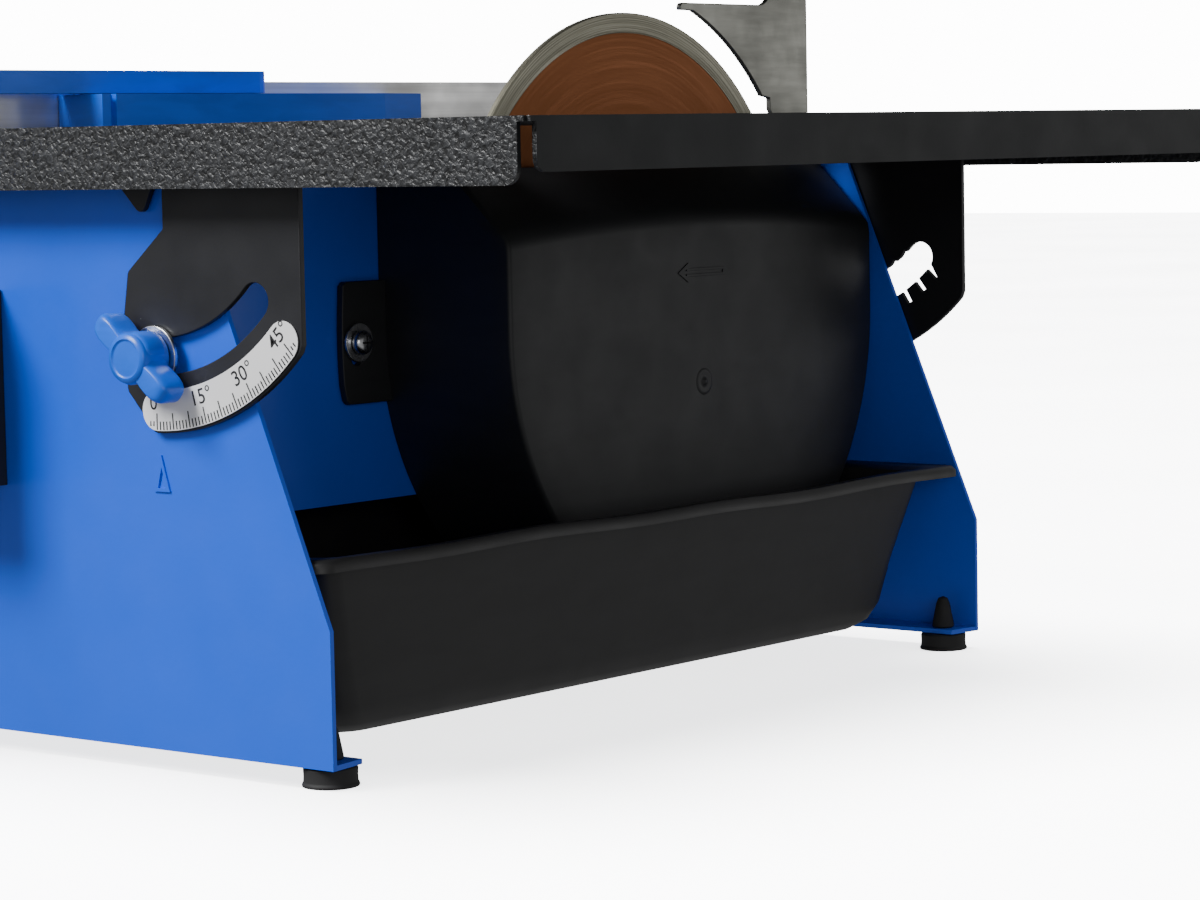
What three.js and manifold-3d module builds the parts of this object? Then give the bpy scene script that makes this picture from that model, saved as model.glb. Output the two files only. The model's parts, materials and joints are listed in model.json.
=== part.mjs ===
// Table-top tile cutter: a wet saw with a fixed motor and a table that tilts up to 45 degrees.
// Millimetres. While the pieces are made, X runs to the operator's right with the tilt axis at
// x = 0, Y runs to the back with the front panel's outer face at y = 0, and Z runs up from the
// floor. The finished group is shifted so that its origin is the bottom centre of its box.

import * as THREE from 'three';
import { mergeVertices } from 'three/addons/utils/BufferGeometryUtils.js';
import Module from 'manifold-3d';

const wasm = await Module();
wasm.setup();

// ---------------------------------------------------------------- driving dimensions

const SHEET = 1.5; // thickness of the bent sheet metal
const GAP = 0.3; // clearance left between pieces that touch

const BASE_DEPTH = 330; // outside to outside of the front and rear panels
const BASE_BOTTOM = 6; // underside of the panels' foot flanges
const BASE_LEFT = -152; // outer face of the left cover
const FOOT_FLANGE = 14; // width of the foot flanges
const FOOT_INSET = 8.5; // foot centre from a panel's outer face
const FOOT_X = [53, -140]; // foot centres, right and left

const TABLE_LEFT = -181;
const TABLE_RIGHT = 149;
const TABLE_FRONT = -15;
const TABLE_BACK = 345;
const TABLE_TOP = 185.3;
const END_FLANGE = 17.8; // depth of the table's front and rear flanges
const SIDE_FLANGE = 14.5; // depth of the table's side flanges

const PIVOT_Z = 175; // tilt axis, parallel to Y at x = 0
const SECTOR_RADIUS = 77; // outer radius of the tilt sectors
const SLOT_RADIUS = 55.1; // radius of the slot's centre line and of the clamp bolt
const SLOT_HALF = 5.2; // half the slot's width
const TILT_MAX = 45; // degrees

const BLADE_X = -5; // middle plane of the blade, the riving knife and the hood
const BLADE_Y = 221.5;
const BLADE_Z = 130.7;
const BLADE_RADIUS = 90;
const RIM_WIDTH = 6.6; // height of the diamond rim
const CORE_HALF = 0.8; // half the thickness of the blade's steel core
const RIM_HALF = 1.1; // half the thickness of the rim
const KNIFE_HALF = 1; // half the thickness of the riving knife
const KNIFE_GAP = 8.5; // from the blade's edge to the riving knife

const WALL_X = -32; // right face of the inner wall that carries the motor
const WALL_BOTTOM = 66;
const GUARD_Y = 228; // centre of the round blade cover below the table
const GUARD_Z = 119;
const GUARD_RADIUS = 99; // at the cover's outer face
const GUARD_REAR = 326.6; // the cover's flat rear side, close to the rear panel
const GUARD_FACE = 21; // outer face of the cover
const GUARD_TOP = 167;
const GUARD_BEND = 148; // height of the bend at the two ends of the slanted top
const GUARD_CROWN = 5.5; // how far the bend rises in the middle

const TRAY_RIM = 62.5;
const TRAY_BOTTOM = 9.8;
const TRAY_RIGHT = 56;
const TRAY_LEFT = -64;

const SHAFT_RADIUS = 6;
const MOTOR_RADIUS = 43;
const MOTOR_RIGHT = -40; // the motor's casing runs from here to MOTOR_LEFT
const MOTOR_LEFT = -136;

const FENCE_X = [-133, -121]; // left and right faces of the fence bar
const FENCE_TOP = 200.8;
const STOP_PIVOT = [-113, 153.6]; // pivot of the angle stop's arm

const HOOD_PIVOT = [314.5, 256]; // y and z of the bolt that carries the blade hood

// ---------------------------------------------------------------- materials

function material(color, roughness, metalness) {
  return new THREE.MeshStandardMaterial({ color, roughness, metalness });
}

const bluePaint = () => material(0x1f6fe0, 0.42, 0.1);
const blackPaint = () => material(0x17181a, 0.55, 0.2);
const blackPlastic = () => material(0x2c2d30, 0.6, 0);
const bluePlastic = () => material(0x2f7bf0, 0.35, 0);
const rubber = () => material(0x141416, 0.85, 0);
const steel = () => material(0xb9bcc0, 0.3, 1);
const darkSteel = () => material(0x55585a, 0.4, 1);
const aluminium = () => material(0xc3c6c8, 0.4, 1);
const labelFilm = () => material(0xc9cbcb, 0.45, 0.2);
const bladeMetal = () => material(0x8a5a3a, 0.45, 0.8);

// ---------------------------------------------------------------- solids

/** Merges shared corners and drops empty triangles, so that a geometry is one closed surface. */
function closed(geometry) {
  const bare = geometry.clone();
  bare.deleteAttribute('normal');
  bare.deleteAttribute('uv');
  const merged = mergeVertices(bare, 1e-3);
  const corners = merged.index.array;
  const kept = [];
  for (let i = 0; i < corners.length; i += 3) {
    const [a, b, c] = [corners[i], corners[i + 1], corners[i + 2]];
    if (a !== b && b !== c && c !== a) kept.push(a, b, c);
  }
  merged.setIndex(kept);
  return merged;
}

/** Six times the signed volume of a closed geometry. */
function signedVolume(geometry) {
  const at = geometry.attributes.position;
  const corners = geometry.index.array;
  const [a, b, c] = [new THREE.Vector3(), new THREE.Vector3(), new THREE.Vector3()];
  let sum = 0;
  for (let i = 0; i < corners.length; i += 3) {
    a.fromBufferAttribute(at, corners[i]);
    b.fromBufferAttribute(at, corners[i + 1]);
    c.fromBufferAttribute(at, corners[i + 2]);
    sum += a.dot(b.cross(c));
  }
  return sum;
}

function solid(geometry) {
  const shell = closed(geometry);
  const corners = Uint32Array.from(shell.index.array);
  if (signedVolume(shell) < 0) corners.reverse();
  const vertices = Float32Array.from(shell.attributes.position.array);
  return new wasm.Manifold(new wasm.Mesh({ numProp: 3, vertProperties: vertices, triVerts: corners }));
}

function toGeometry(body) {
  const mesh = body.getMesh();
  const geometry = new THREE.BufferGeometry();
  geometry.setAttribute('position', new THREE.BufferAttribute(Float32Array.from(mesh.vertProperties), 3));
  geometry.setIndex(Array.from(mesh.triVerts));
  return geometry;
}

const join = (first, ...others) => others.reduce((sum, next) => sum.add(next), first);
const cut = (first, ...others) => others.reduce((rest, next) => rest.subtract(next), first);

function box([x0, x1], [y0, y1], [z0, z1]) {
  const geometry = new THREE.BoxGeometry(x1 - x0, y1 - y0, z1 - z0);
  return solid(geometry.translate((x0 + x1) / 2, (y0 + y1) / 2, (z0 + z1) / 2));
}

function outline(points) {
  return new THREE.Shape(points.map(([u, v]) => new THREE.Vector2(u, v)));
}

/** A point around a centre; the angle is in degrees from the first axis towards the second. */
function polar([u, v], radius, degrees) {
  const angle = THREE.MathUtils.degToRad(degrees);
  return [u + radius * Math.cos(angle), v + radius * Math.sin(angle)];
}

function arc(centre, radius, from, to, steps) {
  const points = [];
  for (let i = 0; i <= steps; i++) points.push(polar(centre, radius, from + ((to - from) * i) / steps));
  return points;
}

const EXTRUDE = { bevelEnabled: false, curveSegments: 8 };

/** A plate whose outline is drawn in x and z, from y0 to y1. */
function plateXZ(points, [y0, y1], steps = 1) {
  const geometry = new THREE.ExtrudeGeometry(outline(points), { ...EXTRUDE, depth: y1 - y0, steps });
  return geometry.rotateX(Math.PI / 2).translate(0, y1, 0);
}

/** A plate whose outline is drawn in y and z, from x0 to x1. */
function plateYZ(points, [x0, x1], steps = 1) {
  const geometry = new THREE.ExtrudeGeometry(outline(points), { ...EXTRUDE, depth: x1 - x0, steps });
  const [alongY, alongZ, alongX] = [[0, 1, 0], [0, 0, 1], [1, 0, 0]].map((v) => new THREE.Vector3(...v));
  const turn = new THREE.Matrix4().makeBasis(alongY, alongZ, alongX);
  return geometry.applyMatrix4(turn).translate(x0, 0, 0);
}

/** A plate whose outline is drawn in x and y, from z0 to z1. */
function plateXY(points, [z0, z1]) {
  const geometry = new THREE.ExtrudeGeometry(outline(points), { ...EXTRUDE, depth: z1 - z0 });
  return geometry.translate(0, 0, z0);
}

/** A turned piece: profile points are [radius, place along the axis], and centre holds the other two. */
function turned(profile, axis, centre, segments = 20) {
  const points = profile.map(([r, along]) => new THREE.Vector2(r, along));
  const geometry = new THREE.LatheGeometry(points, segments);
  if (axis === 'x') geometry.rotateZ(-Math.PI / 2).translate(0, centre[0], centre[1]);
  if (axis === 'y') geometry.translate(centre[0], 0, centre[1]);
  if (axis === 'z') geometry.rotateX(Math.PI / 2).translate(centre[0], centre[1], 0);
  return solid(geometry);
}

function rod(radius, from, to, axis, centre, segments = 16) {
  return turned([[0, from], [radius, from], [radius, to], [0, to]], axis, centre, segments);
}

function ring(inner, outer, from, to, axis, centre, segments = 20) {
  const profile = [[inner, from], [outer, from], [outer, to], [inner, to], [inner, from]];
  return turned(profile, axis, centre, segments);
}

const tilt = new THREE.Group();
const group = new THREE.Group();

function add(name, body, look, parent = group) {
  const mesh = new THREE.Mesh(toGeometry(body), look());
  mesh.name = name;
  parent.add(mesh);
}

// ---------------------------------------------------------------- base: panels, wall and feet

const PANEL_LEFT = BASE_LEFT + SHEET + GAP;
const PANEL_TOP = 180.5;
const PANEL_OUTLINE = [
  [PANEL_LEFT, BASE_BOTTOM],
  [62, BASE_BOTTOM],
  [62, 45],
  [8.5, 173.3],
  [4, PANEL_TOP],
  [PANEL_LEFT, PANEL_TOP],
];

const CLAMP_Z = PIVOT_Z - SLOT_RADIUS;
const BOLT_HOLE = 3.3;

/** Mirrors a body between the front panel and the rear panel. */
function mirrorToBack(body) {
  return body.mirror([0, 1, 0]).translate([0, BASE_DEPTH, 0]);
}

/** The front panel without its own cut-outs; the rear panel is its mirror image. */
function panelBlank() {
  const face = solid(plateXZ(PANEL_OUTLINE, [0, SHEET]));
  const flange = solid(
    plateXY(
      [[PANEL_LEFT, SHEET / 2], [62, SHEET / 2], [60, FOOT_FLANGE], [PANEL_LEFT, FOOT_FLANGE]],
      [BASE_BOTTOM, BASE_BOTTOM + SHEET],
    ),
  );
  const holes = [
    rod(BOLT_HOLE, -1, 3, 'y', [0, PIVOT_Z]),
    rod(BOLT_HOLE, -1, 3, 'y', [0, CLAMP_Z]),
    ...FOOT_X.map((x) => rod(BOLT_HOLE, BASE_BOTTOM - 1, BASE_BOTTOM + 3, 'z', [x, FOOT_INSET], 16)),
  ];
  return cut(join(face, flange), ...holes);
}

const POINTER = { x: -1.5, low: 81, high: 91.5, half: 3.2, proud: 0.6 };

function frontPanel() {
  const { x, low, high, half, proud } = POINTER;
  const outer = solid(plateXZ([[x - half, low], [x + half, low], [x, high]], [-proud, SHEET / 2]));
  const inner = solid(
    plateXZ([[x - half + 1.6, low + 1], [x + half - 1.6, low + 1], [x, high - 3.4]], [-1, 0]),
  );
  const cableHole = box([-94, -84], [-1, 3], [100, 118]);
  return cut(join(panelBlank(), cut(outer, inner)), cableHole);
}

const GLAND = { x: -122, z: 34, hole: 8 };

function rearPanel() {
  const glandHole = rod(GLAND.hole + GAP, BASE_DEPTH - 3, BASE_DEPTH + 3, 'y', [GLAND.x, GLAND.z]);
  return cut(mirrorToBack(panelBlank()), glandHole);
}

const INSIDE_FRONT = SHEET + GAP;
const INSIDE_BACK = BASE_DEPTH - SHEET - GAP;
const WALL_LEFT = WALL_X - SHEET;
const STUD_OFFSET = 27;
const MOTOR_STUDS = [[-1, -1], [1, -1], [-1, 1], [1, 1]].map(([side, up]) => [
  BLADE_Y + side * STUD_OFFSET,
  BLADE_Z + up * STUD_OFFSET,
]);
const GUARD_SCREW = [113.4, 116.8]; // y and z of the screw in the blade cover's ear
const KNIFE_SCREWS = [[319.4, 160.5], [316, 170.8]];
const KNIFE_HOLE = 2.2;

function motorWall() {
  const web = box([WALL_LEFT, WALL_X], [INSIDE_FRONT, INSIDE_BACK], [WALL_BOTTOM, 176]);
  const flanges = [
    box([WALL_LEFT - 11, WALL_X], [INSIDE_FRONT, INSIDE_FRONT + SHEET], [WALL_BOTTOM, 176]),
    box([WALL_LEFT - 11, WALL_X], [INSIDE_BACK - SHEET, INSIDE_BACK], [WALL_BOTTOM, 176]),
    box([WALL_LEFT - 9, WALL_X], [INSIDE_FRONT, INSIDE_BACK], [176 - SHEET, 176]),
  ];
  const acrossWall = [WALL_LEFT - 12, WALL_X + 1, 'x'];
  const holes = [
    rod(13, ...acrossWall, [BLADE_Y, BLADE_Z]),
    rod(2.3, ...acrossWall, GUARD_SCREW, 12),
    ...MOTOR_STUDS.map((centre) => rod(2.8, ...acrossWall, centre, 12)),
    ...KNIFE_SCREWS.map((centre) => rod(KNIFE_HOLE, ...acrossWall, centre, 12)),
  ];
  return cut(join(web, ...flanges), ...holes);
}

const VENT_ROWS = 6;

function leftCover() {
  const right = BASE_LEFT + SHEET;
  const low = BASE_BOTTOM + SHEET + GAP;
  const sheet = box([BASE_LEFT, right], [0, BASE_DEPTH], [BASE_BOTTOM, PANEL_TOP]);
  const flanges = [
    box([BASE_LEFT, right + 10], [INSIDE_FRONT, INSIDE_FRONT + SHEET], [low, PANEL_TOP - 3]),
    box([BASE_LEFT, right + 10], [INSIDE_BACK - SHEET, INSIDE_BACK], [low, PANEL_TOP - 3]),
  ];
  const vents = [];
  for (let row = 0; row < VENT_ROWS; row++) {
    const z = 92 + row * 13;
    vents.push(box([BASE_LEFT - 1, right + 1], [BLADE_Y - 45, BLADE_Y + 45], [z, z + 4.5]));
  }
  return cut(join(sheet, ...flanges), ...vents);
}

function bottomPlate() {
  const z = BASE_BOTTOM + SHEET + GAP;
  const plate = box([-128, -68], [INSIDE_FRONT, INSIDE_BACK], [z, z + SHEET]);
  const lip = box([-68 - SHEET, -68], [INSIDE_FRONT, INSIDE_BACK], [z, z + 12]);
  return join(plate, lip);
}

function foot([x, y]) {
  const neckTop = BASE_BOTTOM + SHEET + GAP;
  const neck = BOLT_HOLE - GAP;
  const under = BASE_BOTTOM - GAP;
  const profile = [[0, 0], [8.2, 0], [8.2, 0.9], [7.8, 1.6], [7.8, under], [neck, under], [neck, neckTop]];
  profile.push([3.8, neckTop], [3.8, neckTop + 0.8], [1.9, neckTop + 10.2], [0, neckTop + 10.6]);
  return turned(profile, 'z', [x, y], 16);
}

add('front_panel', frontPanel(), bluePaint);
add('rear_panel', rearPanel(), bluePaint);
add('motor_wall', motorWall(), bluePaint);
add('left_cover', leftCover(), bluePaint);
add('bottom_plate', bottomPlate(), bluePaint);
for (const [side, x] of [['right', FOOT_X[0]], ['left', FOOT_X[1]]]) {
  add(`foot_front_${side}`, foot([x, FOOT_INSET]), rubber);
  add(`foot_rear_${side}`, foot([x, BASE_DEPTH - FOOT_INSET]), rubber);
}

// ---------------------------------------------------------------- water tray on its two ledges

const TRAY_WALL = 1.6;
const TRAY_DRAFT = 10; // how far each side wall leans in towards the bottom
const TRAY_END_RIM = 15.5; // width of the rim at the rear end
const TRAY_SIDE_RIM = 3;
const TRAY_ENDS = [3, 327];

/** A tapering block with rounded lower edges: [x, y] half sizes shrink towards the bottom. */
function taperedBlock([x0, x1], [y0, y1], [low, high], sideDraft, endDraft) {
  const rise = (z) => (z - low) / (high - low);
  const edge = (z, draft, round) => draft * (1 - rise(z)) + round;
  const levels = [[low, 5], [low + 1.5, 2], [low + 5, 0], [high, 0]];
  const positions = [];
  for (const [z, round] of levels) {
    const [dx, dy] = [edge(z, sideDraft, round), edge(z, endDraft, round)];
    const corner = 7;
    const rim = [
      [x0 + dx + corner, y0 + dy],
      [x1 - dx - corner, y0 + dy],
      [x1 - dx, y0 + dy + corner],
      [x1 - dx, y1 - dy - corner],
      [x1 - dx - corner, y1 - dy],
      [x0 + dx + corner, y1 - dy],
      [x0 + dx, y1 - dy - corner],
      [x0 + dx, y0 + dy + corner],
    ];
    for (const [x, y] of rim) positions.push(x, y, z);
  }
  const count = 8;
  const corners = [];
  for (let level = 0; level < levels.length - 1; level++) {
    for (let i = 0; i < count; i++) {
      const a = level * count + i;
      const b = level * count + ((i + 1) % count);
      corners.push(a, b, b + count, a, b + count, a + count);
    }
  }
  const top = (levels.length - 1) * count;
  for (let i = 1; i < count - 1; i++) {
    corners.push(0, i + 1, i);
    corners.push(top, top + i, top + i + 1);
  }
  const geometry = new THREE.BufferGeometry();
  geometry.setAttribute('position', new THREE.Float32BufferAttribute(positions, 3));
  geometry.setIndex(corners);
  return solid(geometry);
}

function waterTray() {
  const [front, back] = [TRAY_ENDS[0] + 2 * TRAY_SIDE_RIM, TRAY_ENDS[1] - TRAY_END_RIM];
  const [left, right] = [TRAY_LEFT + TRAY_SIDE_RIM, TRAY_RIGHT - TRAY_SIDE_RIM];
  const outer = taperedBlock([left, right], [front, back], [TRAY_BOTTOM, TRAY_RIM], TRAY_DRAFT - 3, 12);
  const inner = taperedBlock(
    [left + TRAY_WALL, right - TRAY_WALL],
    [front + TRAY_WALL, back - TRAY_WALL],
    [TRAY_BOTTOM + TRAY_WALL, TRAY_RIM + 0.5],
    TRAY_DRAFT - 3,
    12,
  );
  const rim = box([TRAY_LEFT, TRAY_RIGHT], TRAY_ENDS, [TRAY_RIM - TRAY_WALL, TRAY_RIM]);
  return cut(join(outer, rim), inner);
}

function trayLedge() {
  const top = TRAY_RIM - TRAY_WALL - GAP;
  const shelf = box([-26, 26], [INSIDE_FRONT, INSIDE_FRONT + 5], [top - SHEET, top]);
  const leg = box([-26, 26], [INSIDE_FRONT, INSIDE_FRONT + SHEET], [top - 14, top]);
  return join(shelf, leg);
}

add('water_tray', waterTray(), blackPlastic);
add('tray_ledge_front', trayLedge(), bluePaint);
add('tray_ledge_rear', mirrorToBack(trayLedge()), bluePaint);

// ---------------------------------------------------------------- round blade cover below the table

const GUARD_WALL = 2;
const GUARD_DRAFT = 0.02; // the cover's front side widens by this share towards the wall
const GUARD_BACK = WALL_X + GAP;

/** U-shaped outline in y and z: a half circle with straight sides up to the given height. */
function guardOutline(radius, top) {
  const lower = arc([GUARD_Y, GUARD_Z], radius, -180, 0, 40);
  return [...lower, [GUARD_Y + radius, top], [GUARD_Y - radius, top]];
}

/** Moves every corner of a geometry. */
function reshape(geometry, move) {
  const at = geometry.attributes.position;
  const point = new THREE.Vector3();
  for (let i = 0; i < at.count; i++) {
    point.fromBufferAttribute(at, i);
    move(point);
    at.setXYZ(i, point.x, point.y, point.z);
  }
  return geometry;
}

/** The cover's body with the slanted top, drawn in by a wall thickness when it is the hollow. */
function guardBody(inset) {
  const face = GUARD_FACE - inset;
  const radius = GUARD_RADIUS - inset;
  const side = GUARD_RADIUS / (1 + GUARD_DRAFT);
  const body = plateYZ(guardOutline(radius, GUARD_TOP + inset), [GUARD_BACK - inset, face]);
  const tapered = reshape(body, (point) => {
    const share = 1 + (GUARD_DRAFT * (GUARD_FACE - point.x)) / (GUARD_FACE - GUARD_BACK);
    if (point.y < GUARD_Y) point.y = GUARD_Y + (point.y - GUARD_Y) * share;
    point.y = Math.min(point.y, GUARD_REAR - inset);
  });
  const bend = GUARD_BEND - inset * 0.4;
  const reach = 30;
  const wedge = [[face, bend], [face + reach, bend], [face + reach, bend + reach], [face - reach, bend + reach]];
  const slant = plateXZ(wedge, [GUARD_Y - side - 8, GUARD_Y + side + 8], 12);
  const crowned = reshape(slant, (point) => {
    const across = (point.y - GUARD_Y) / side;
    point.z += GUARD_CROWN * (1 - across * across);
  });
  return cut(solid(tapered), solid(crowned));
}

const EAR = { left: 107, right: 131, low: 97.3, high: 136, thickness: 2.5 };

function guardCover() {
  const shell = cut(guardBody(0), guardBody(GUARD_WALL));
  const earOutline = [
    [EAR.right, EAR.low],
    [EAR.right, EAR.high],
    [EAR.left + 0.6, EAR.high],
    [EAR.left, (EAR.low + EAR.high) / 2],
    [EAR.left + 1.6, EAR.low],
  ];
  const ear = solid(plateYZ(earOutline, [GUARD_BACK, GUARD_BACK + EAR.thickness]));
  const earKept = cut(ear, guardBody(GUARD_WALL));
  const [y, z] = GUARD_SCREW;
  const slot = join(
    rod(2.7, GUARD_BACK - 1, GUARD_BACK + 4, 'x', [y, z], 16),
    box([GUARD_BACK - 1, GUARD_BACK + 4], [y - 2.7, y + 2.7], [z - 8, z]),
  );
  const drain = box([-20, 10], [GUARD_Y - 22, GUARD_Y + 22], [GUARD_Z - GUARD_RADIUS - 6, 24]);
  return cut(join(shell, earKept), slot, drain);
}

/** A pan-head screw along X with its head on the right. */
function screwX(headLeft, headRadius, shankRadius, shankEnd, centre) {
  const profile = [
    [0, shankEnd],
    [shankRadius, shankEnd],
    [shankRadius, headLeft],
    [headRadius, headLeft],
    [headRadius, headLeft + 1.6],
    [headRadius * 0.7, headLeft + 2.6],
    [0, headLeft + 2.9],
  ];
  const recess = [
    box([headLeft + 1.5, headLeft + 4], [centre[0] - 1.9, centre[0] + 1.9], [centre[1] - 0.4, centre[1] + 0.4]),
    box([headLeft + 1.5, headLeft + 4], [centre[0] - 0.4, centre[0] + 0.4], [centre[1] - 1.9, centre[1] + 1.9]),
  ];
  return cut(turned(profile, 'x', centre, 12), ...recess);
}

const EAR_FACE = GUARD_BACK + EAR.thickness;

add('guard_cover', guardCover(), blackPlastic);
add('guard_washer', ring(2.4, 6.2, EAR_FACE + GAP, EAR_FACE + GAP + 1, 'x', GUARD_SCREW), steel);
add('guard_screw', screwX(EAR_FACE + 2 * GAP + 1, 3.9, 2, WALL_X - 6, GUARD_SCREW), steel);

// ---------------------------------------------------------------- motor

const AXIS = [BLADE_Y, BLADE_Z];
const SHIELD_RIGHT = WALL_LEFT - GAP;
const FINS = 20;

function motorCasing() {
  const points = [];
  for (let i = 0; i < FINS; i++) {
    const pitch = 360 / FINS;
    const from = i * pitch;
    for (const [turn, radius] of [[0, 40.6], [0.55, 40.6], [0.6, MOTOR_RADIUS], [0.95, MOTOR_RADIUS]]) {
      points.push(polar(AXIS, radius, from + turn * pitch));
    }
  }
  const casing = solid(plateYZ(points, [MOTOR_LEFT, MOTOR_RIGHT]));
  return cut(casing, rod(38.4, MOTOR_LEFT - 1, MOTOR_RIGHT + 1, 'x', AXIS, 24));
}

function frontShield() {
  const right = SHIELD_RIGHT;
  const left = MOTOR_RIGHT + GAP;
  const profile = [[7.5, right], [MOTOR_RADIUS, right], [MOTOR_RADIUS, left], [37.6, left], [37.6, left - 4]];
  profile.push([35, left - 4], [35, left - 0.5], [20, left - 0.5], [20, left - 14], [16.3, left - 14]);
  profile.push([16.3, left - 3], [7.5, left - 3], [7.5, right]);
  const studs = MOTOR_STUDS.map((centre) => rod(2.4, right - 1, WALL_X + 4, 'x', centre, 12));
  return join(turned(profile, 'x', AXIS, 20), ...studs);
}

function rearShield() {
  const right = MOTOR_LEFT - GAP;
  const left = right - 9;
  const profile = [[20, left], [36, left], [MOTOR_RADIUS, left + 5], [MOTOR_RADIUS, right], [37.6, right]];
  profile.push([37.6, right + 4], [35, right + 4], [35, left + 2.5], [20, left + 2.5], [20, left]);
  const cap = turned(profile, 'x', AXIS, 24);
  const bore = [[16.3, right + 3], [16.3, left + 2], [0, left + 2]];
  const cup = turned([[0, left], [21, left], [21, right + 3], ...bore], 'x', AXIS, 24);
  const vents = [];
  for (let i = 0; i < 10; i++) {
    const slot = box([left - 1, left + 3], [BLADE_Y + 24, BLADE_Y + 32], [BLADE_Z - 2, BLADE_Z + 2]);
    const moved = slot.translate([0, -BLADE_Y, -BLADE_Z]).rotate([i * 36, 0, 0]);
    vents.push(moved.translate([0, BLADE_Y, BLADE_Z]));
  }
  return cut(join(cap, cup), ...vents);
}

const BEARING_WIDTH = 10;
const FRONT_BEARING_RIGHT = MOTOR_RIGHT - 3;
const REAR_BEARING_LEFT = MOTOR_LEFT - 6.7;
const BORE = SHAFT_RADIUS + GAP;

function motorShaft() {
  const left = REAR_BEARING_LEFT;
  const profile = [[0, left], [SHAFT_RADIUS, left], [SHAFT_RADIUS, 8], [SHAFT_RADIUS - 1, 9.5], [0, 9.5]];
  return turned(profile, 'x', AXIS, 20);
}

function coolingFan() {
  const [left, right] = [-130, -119];
  const blades = [];
  for (let i = 0; i < 7; i++) {
    const blade = box([left, right], [12, 33], [-1, 1]).rotate([(i * 360) / 7, 0, 0]);
    blades.push(blade.translate([0, BLADE_Y, BLADE_Z]));
  }
  const hub = ring(BORE, 13, left, right, 'x', AXIS);
  const disc = ring(BORE, 33.5, right - 1.6, right, 'x', AXIS);
  return join(hub, disc, ...blades);
}

const STATOR = [-110, -62];

add('motor_casing', motorCasing(), aluminium);
add('motor_front_shield', frontShield(), aluminium);
add('motor_rear_shield', rearShield(), aluminium);
add('stator', ring(25, 37.5, ...STATOR, 'x', AXIS, 20), darkSteel);
add('rotor', ring(BORE, 24.2, ...STATOR, 'x', AXIS, 20), darkSteel);
add('motor_shaft', motorShaft(), steel);
add('bearing_front', ring(BORE, 16, FRONT_BEARING_RIGHT - BEARING_WIDTH, FRONT_BEARING_RIGHT, 'x', AXIS), steel);
add('bearing_rear', ring(BORE, 16, REAR_BEARING_LEFT, REAR_BEARING_LEFT + BEARING_WIDTH - 3, 'x', AXIS), steel);
add('cooling_fan', coolingFan(), blackPlastic);

const CAPACITOR = { x: -100, z: 26, radius: 16 };

add('capacitor', rod(CAPACITOR.radius, 60, 128, 'y', [CAPACITOR.x, CAPACITOR.z]), blackPlastic);

// ---------------------------------------------------------------- blade on its arbor

const BLADE_BORE = 12.7;
const FLANGE_RADIUS = 19;

function blade() {
  const core = BLADE_RADIUS - RIM_WIDTH;
  const side = [[BLADE_BORE, CORE_HALF], [core, CORE_HALF], [core, RIM_HALF], [BLADE_RADIUS, RIM_HALF]];
  const otherSide = side.map(([r, x]) => [r, -x]).reverse();
  return turned([...side, ...otherSide, side[0]], 'x', AXIS, 60).translate([BLADE_X, 0, 0]);
}

function innerFlange() {
  const face = BLADE_X - CORE_HALF - GAP;
  const pilot = BLADE_X + 0.6; // the blade's bore sits on this short step
  const profile = [[BORE, face - 15], [10, face - 15], [10, face - 4], [FLANGE_RADIUS, face - 4]];
  profile.push([FLANGE_RADIUS, face], [BLADE_BORE - GAP, face], [BLADE_BORE - GAP, pilot]);
  profile.push([BORE, pilot], [BORE, face - 15]);
  return turned(profile, 'x', AXIS, 24);
}

function arborNut() {
  const across = 9.5 / Math.cos(Math.PI / 6);
  const hexagon = arc(AXIS, across, 0, 300, 5);
  const left = BLADE_X + CORE_HALF + 2 * GAP + 3.5;
  return cut(solid(plateYZ(hexagon, [left, left + 7.5])), rod(BORE, left - 1, left + 9, 'x', AXIS));
}

add('blade', blade(), bladeMetal);
add('inner_flange', innerFlange(), steel);
const OUTER_FLANGE = BLADE_X + CORE_HALF + GAP;
add('outer_flange', ring(BORE, FLANGE_RADIUS, OUTER_FLANGE, OUTER_FLANGE + 3.5, 'x', AXIS, 24), steel);
add('arbor_nut', arborNut(), steel);

// ---------------------------------------------------------------- riving knife and blade hood

const KNIFE_EDGE = BLADE_RADIUS + KNIFE_GAP; // radius of the knife's edge about the blade's axis
const KNIFE_FACES = [BLADE_X - KNIFE_HALF, BLADE_X + KNIFE_HALF];
const [HOOD_Y, HOOD_Z] = HOOD_PIVOT;
const KNIFE_TOP_RADIUS = 10.7;

/** The knife follows the blade's edge, steps back just above the table and ends in a nose. */
function rivingKnife() {
  const points = [
    ...arc(AXIS, KNIFE_EDGE + 0.9, 14, 35.5, 6),
    [302.4, 192.4],
    [297.4, 193.1],
    ...arc(AXIS, KNIFE_EDGE, 40, 68, 8),
    [251.4, 222.4],
    [251.4, 223.4],
    [253, 224.5],
    [298.6, 224.6],
    [302, 226.2],
    [HOOD_Y - KNIFE_TOP_RADIUS, 229.5],
    ...arc(HOOD_PIVOT, KNIFE_TOP_RADIUS, 180, 0, 12),
    [HOOD_Y + KNIFE_TOP_RADIUS, 184],
    [324, 176],
    [324, 154.7],
  ];
  const [left, right] = KNIFE_FACES;
  const holes = [
    rod(BOLT_HOLE, left - 1, right + 1, 'x', HOOD_PIVOT),
    ...KNIFE_SCREWS.map((centre) => rod(KNIFE_HOLE, left - 1, right + 1, 'x', centre, 12)),
  ];
  return cut(solid(plateYZ(points, KNIFE_FACES)), ...holes);
}

/** Spacer block between the inner wall and the riving knife. */
function knifeBracket() {
  const [left, right] = [WALL_X + GAP, KNIFE_FACES[0] - GAP];
  const block = solid(plateYZ([[324, 154.7], [324, 176], [310, 176], [313, 163], [315.5, 154.7]], [left, right]));
  return cut(block, ...KNIFE_SCREWS.map((centre) => rod(KNIFE_HOLE, left - 1, right + 1, 'x', centre, 12)));
}

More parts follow.
